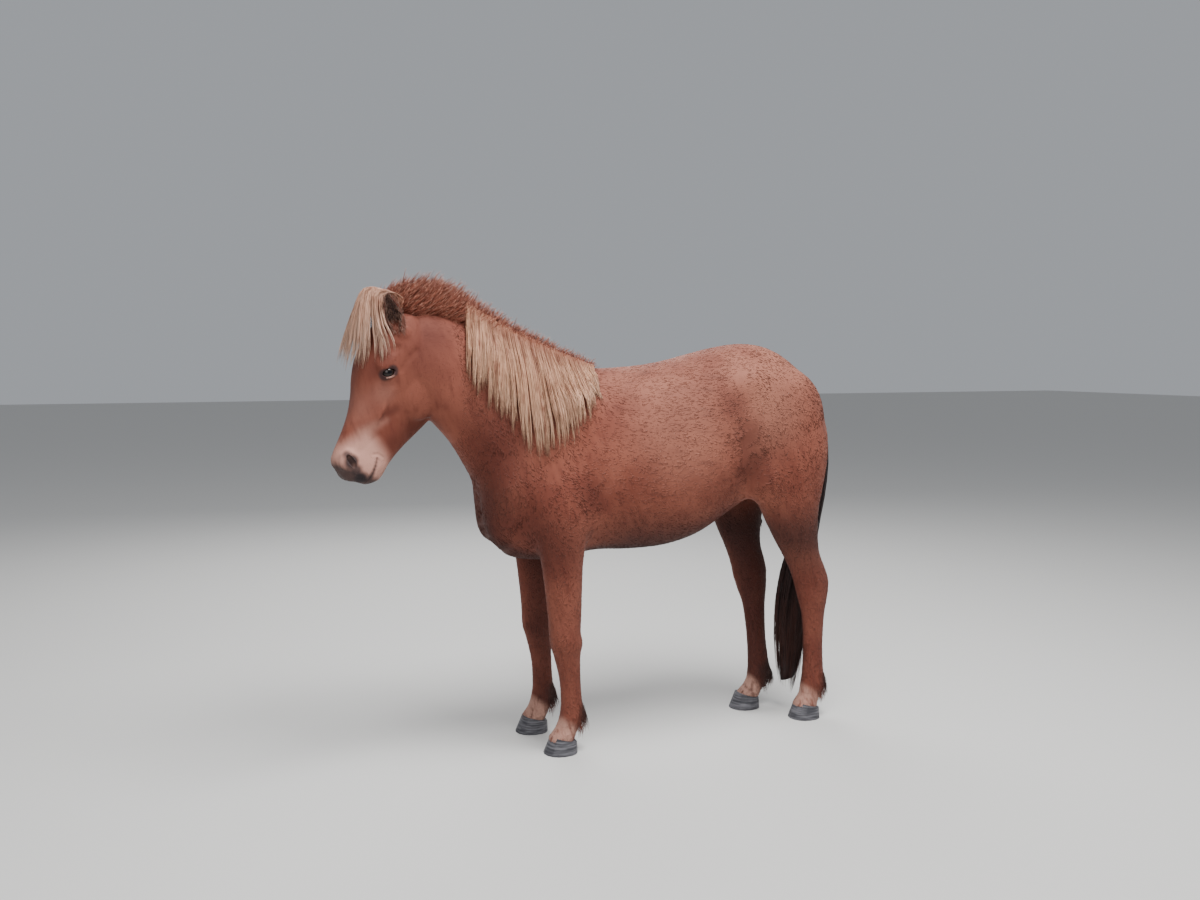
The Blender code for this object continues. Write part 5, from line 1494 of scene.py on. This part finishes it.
def featherPaths():
    for name, (section, side, *_) in legs["stance"].items():
        rows = np.array(legs[section])[::-1]
        for _ in range(feather["strands"]):
            height = draw.uniform(feather["to"], feather["from"])
            forward, inward = legSetting(name, height)
            front, back, wide, out = (np.interp(height, rows[:, 0], rows[:, c]) for c in (1, 2, 3, 4))
            middle = np.array(((front + back) / 2 - forward, side * (out - inward), height))
            around = draw.normal(0, 0.75)
            way = np.array((math.cos(around), math.sin(around), 0))
            hit = surface.ray_cast(Vector(middle + way * 0.12), Vector(-way), 0.2)[0]
            if hit:
                size = feather["length"] * draw.uniform(0.5, 1.1) * math.exp(-(around**2) * 0.5)
                fall = np.array((0.10, 0, -1.0)) + draw.normal(0, 0.10, 3)
                ends = (0.0, 0.30, 0.62, 0.85, 1.0)
                root = np.array(hit) - way * 0.001
                yield [root + fall * size * t + way * size * 0.30 * t * (1.25 - t) for t in ends], way


made = list(featherPaths())
paths = np.array([path for path, way in made])
ways = np.array([np.cross(way, (0, 0, 1.0)) for path, way in made])
wide = feather["width"] / 2 * np.tile((0.8, 1.0, 0.8, 0.5, 0.1), (len(paths), 1))
piece = strands("fetlock_hair", paths, np.repeat(ways[:, None], 5, axis=1), wide, wide * 0.6,
                patchOf(paths[:, 0]), draw.uniform(0, 1, len(paths)))
done(piece, tuftFinish.material, "coat")
print("fetlock hair done")


# Eyes


def eyeFinish(side):
    f = Finish(f"eye_{side}", Roughness=0.12, Specular_IOR_Level=0.35)
    place = eyePlace(side)
    spot = np.array(place.translation)
    long, high = (np.array(place.to_3x3().col[k]) for k in range(2))
    u, v = (f.along(way) - float(spot @ way) for way in (long, high))
    pupil = f.maths("SQRT", (u / eye["pupil"][0]) ** 2 + (v / eye["pupil"][1]) ** 2)
    iris = f.maths("SQRT", u ** 2 + v ** 2)
    color = f.mix(f.rise(pupil, 0.9, 1.1), (0.001, 0.001, 0.002), (0.012, 0.005, 0.003))
    color = f.mix(f.rise(iris, *eye["iris"]), color, (0.006, 0.003, 0.002))
    f.feed(f.shader.inputs["Base Color"], color)
    return f.material


for side, name in ((1, "eye_left"), (-1, "eye_right")):
    place = eyePlace(side)
    ball = roundForm(name + "_ball", place @ Matrix.Diagonal((*([eye["radius"]] * 3), 1)), 48, 32)
    ball.data.shade_smooth()
    done(ball, eyeFinish(side), "eye", name)


# Ears

ear = {
    "root": (0.095, -0.040, 0.052),
    "tip": (-0.014, 0.046, 0.074),
    "opens": (0.10, 0.45, 0.88),
    "sections": (  # how far up, half width, half depth
        (-0.20, 0.020, 0.019), (0.00, 0.024, 0.021), (0.20, 0.029, 0.023), (0.42, 0.031, 0.021),
        (0.65, 0.026, 0.016), (0.85, 0.015, 0.010), (1.00, 0.003, 0.002),
    ),
    "wall": 0.0035,
    "gape": 58,
    "rootGape": 0.25,
    "size": 0.95,
    "points": 25,
    "hairs": 1500,
    "hairRings": 4,
}


def earForm(name, side):
    root, tip = headPoint(*mirrored(ear["root"], side)), headPoint(*mirrored(ear["tip"], side))
    axis = tip - root
    opens = mirrored(ear["opens"], side) @ headAxes
    opens = unit(opens - axis * (opens @ axis) / (axis @ axis))
    wide = unit(np.cross(axis, opens))
    last = ear["points"] - 1
    rings = []
    for up, halfWidth, halfDepth in fair(ear["sections"], 5):
        halfWidth, halfDepth = halfWidth * ear["size"], halfDepth * ear["size"]
        middle = root + axis * up - opens * 0.010 * math.sin(math.pi * max(up, 0))
        gape = ear["rootGape"] + (math.radians(ear["gape"]) - ear["rootGape"]) * rise(up, 0.10, 0.60)
        fill = 0.6 * (1 - rise(up, 0.10, 0.40))
        outer, inner = [], []
        for k in range(last + 1):
            angle = gape + (2 * math.pi - 2 * gape) * k / last
            way = opens * (halfDepth * math.cos(angle)) + wide * (halfWidth * math.sin(angle))
            outer.append(middle + way)
            if 0 < k < last:
                wall = min(ear["wall"] / halfDepth, 0.5)
                inner.append(middle + way * ((1 - wall) * (1 - fill)) + opens * (halfDepth * 0.10))
        rings.append(np.array(outer + inner[::-1]))
    obj = loft(name, rings)
    within = obj.data.attributes.new("within", "FLOAT", "POINT")
    within.data.foreach_set("value", np.tile(np.repeat((0.0, 1.0), (last + 1, last - 1)), len(rings)))
    applied(obj, "SUBSURF", levels=1, render_levels=1)
    obj.data.shade_smooth()
    return obj


def earHair(name, cup, side):  # short hair over the ear's back, long pale hair along its rim and inside
    root, tip = headPoint(*mirrored(ear["root"], side)), headPoint(*mirrored(ear["tip"], side))
    opens = mirrored(ear["opens"], side) @ headAxes
    faces = cup.data.polygons
    middles = np.array([face.center for face in faces])
    outs = np.array([face.normal for face in faces])
    up = (middles - root) @ (tip - root) / ((tip - root) @ (tip - root))
    areas = np.array([face.area for face in faces]) * (up > 0.02) * (up < 0.97)
    chosen = draw.choice(len(areas), ear["hairs"], p=areas / areas.sum())
    at, out = middles[chosen] + draw.normal(0, 0.0012, (len(chosen), 3)), outs[chosen]
    inside = rise(out @ opens, 0.0, 0.5)[:, None]
    way = unit(unit(tip - root) + opens * inside * 0.9 + out * 0.12 + draw.normal(0, 0.16, (len(chosen), 3)))
    length = (0.009 + 0.012 * inside[:, 0]) * draw.uniform(0.6, 1.3, len(chosen))
    down = np.linspace(0, 1, ear["hairRings"])
    paths = at[:, None] - out[:, None] * 0.0004 + way[:, None] * (length[:, None] * down)[..., None] + (
        out[:, None] * (0.10 * length[:, None] * np.sin(down * 2.6))[..., None])
    wide = np.tile(0.0007 * np.array((0.9, 1.0, 0.7, 0.0)), (len(chosen), 1))
    lots = draw.uniform(0, 1, len(chosen))
    sides = np.repeat(np.cross(way, out)[:, None], ear["hairRings"], axis=1)
    return strands(name, paths, sides, wide, wide * 0.6, patchOf(paths[:, 0]), lots)


earFinish = Finish("ear_skin", Roughness=0.65, Specular_IOR_Level=0.25)
within = earFinish.node("ShaderNodeAttribute", {"attribute_name": "within"}, out="Fac")
color = earFinish.mix(0.35, coatColor(earFinish)[0], coatLook["deep"])
earFinish.feed(earFinish.shader.inputs["Base Color"], earFinish.mix(within * 0.9, color, coatLook["sootAndShade"]))

for side, name in ((1, "ear_left"), (-1, "ear_right")):
    cup = earForm(name + "_cup", side)
    done(earHair(name + "_hair", cup, side), earHairFinish, "coat")
    done(cup, earFinish.material, "coat", name)


# Hooves

hornFinish = Finish("hoof_horn", Roughness=0.55, Specular_IOR_Level=0.35)
rows = hornFinish.noise(90, 3.0, (6, 6, 0.5))
color = hornFinish.mix(hornFinish.rise(rows, 0.35, 0.7), (0.040, 0.039, 0.046), (0.150, 0.146, 0.160))
hornFinish.feed(hornFinish.shader.inputs["Base Color"], color)
hornFinish.bump(rows, 0.4, 0.002)
for name in legs["stance"]:
    node = frame["nodes"][f"hoof_{name}"]
    for slot in node.material_slots:
        slot.material = hornFinish.material

done(skin, coatFinish.material, "coat", "torso", "neck", "head", "leg_fore_left", "leg_fore_right",
     "leg_hind_left", "leg_hind_right")

# Stage, light and camera

stageLook = Finish("pale_floor", Roughness=0.9)
stageLook.shader.inputs["Base Color"].default_value = (0.62, 0.61, 0.59, 1)
bpy.ops.mesh.primitive_plane_add(size=60, location=(0, 0, -0.0005))
floor = bpy.context.object
floor.name = "floor"
floor.data.materials.append(stageLook.material)
floor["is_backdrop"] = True

world = bpy.data.worlds.new("studio")
bpy.context.scene.world = world
world.use_nodes = True
world.node_tree.nodes["Background"].inputs["Color"].default_value = (0.86, 0.90, 0.96, 1)
world.node_tree.nodes["Background"].inputs["Strength"].default_value = 0.42

lights = (  # place, aim, size, power
    ((0.6, -1.5, 4.7), (0, 0, 0.8), 2.4, 340),
    ((-2.2, -3.4, 2.4), (-0.2, 0, 0.9), 2.4, 60),
    ((0.5, 3.5, 3.5), (0, 0, 0.9), 3.0, 120),
)
for number, (spot, aim, size, power) in enumerate(lights):
    lamp = bpy.data.lights.new(f"softbox_{number}", "AREA")
    lamp.size, lamp.energy = size, power
    holder = bpy.data.objects.new(f"softbox_{number}", lamp)
    bpy.context.scene.collection.objects.link(holder)
    holder.location = spot
    holder.rotation_euler = (Vector(aim) - Vector(spot)).to_track_quat("-Z", "Y").to_euler()

view = {"place": (-1.435, -3.424, 1.280), "turn": 21, "pitch": 4.83, "lens": 33}
camera = bpy.data.objects.new("camera", bpy.data.cameras.new("camera"))
bpy.context.scene.collection.objects.link(camera)
camera.data.lens, camera.data.sensor_width = view["lens"], 36
camera.location = Vector(view["place"]) + Vector(shift)
camera.rotation_euler = (math.radians(90 - view["pitch"]), 0, -math.radians(view["turn"]))
bpy.context.scene.camera = camera
print("stage set")

low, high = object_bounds()
json.dumps({"cad": [list(cadLow), list(cadHigh)], "visual": [list(low), list(high)]}) + "\n"
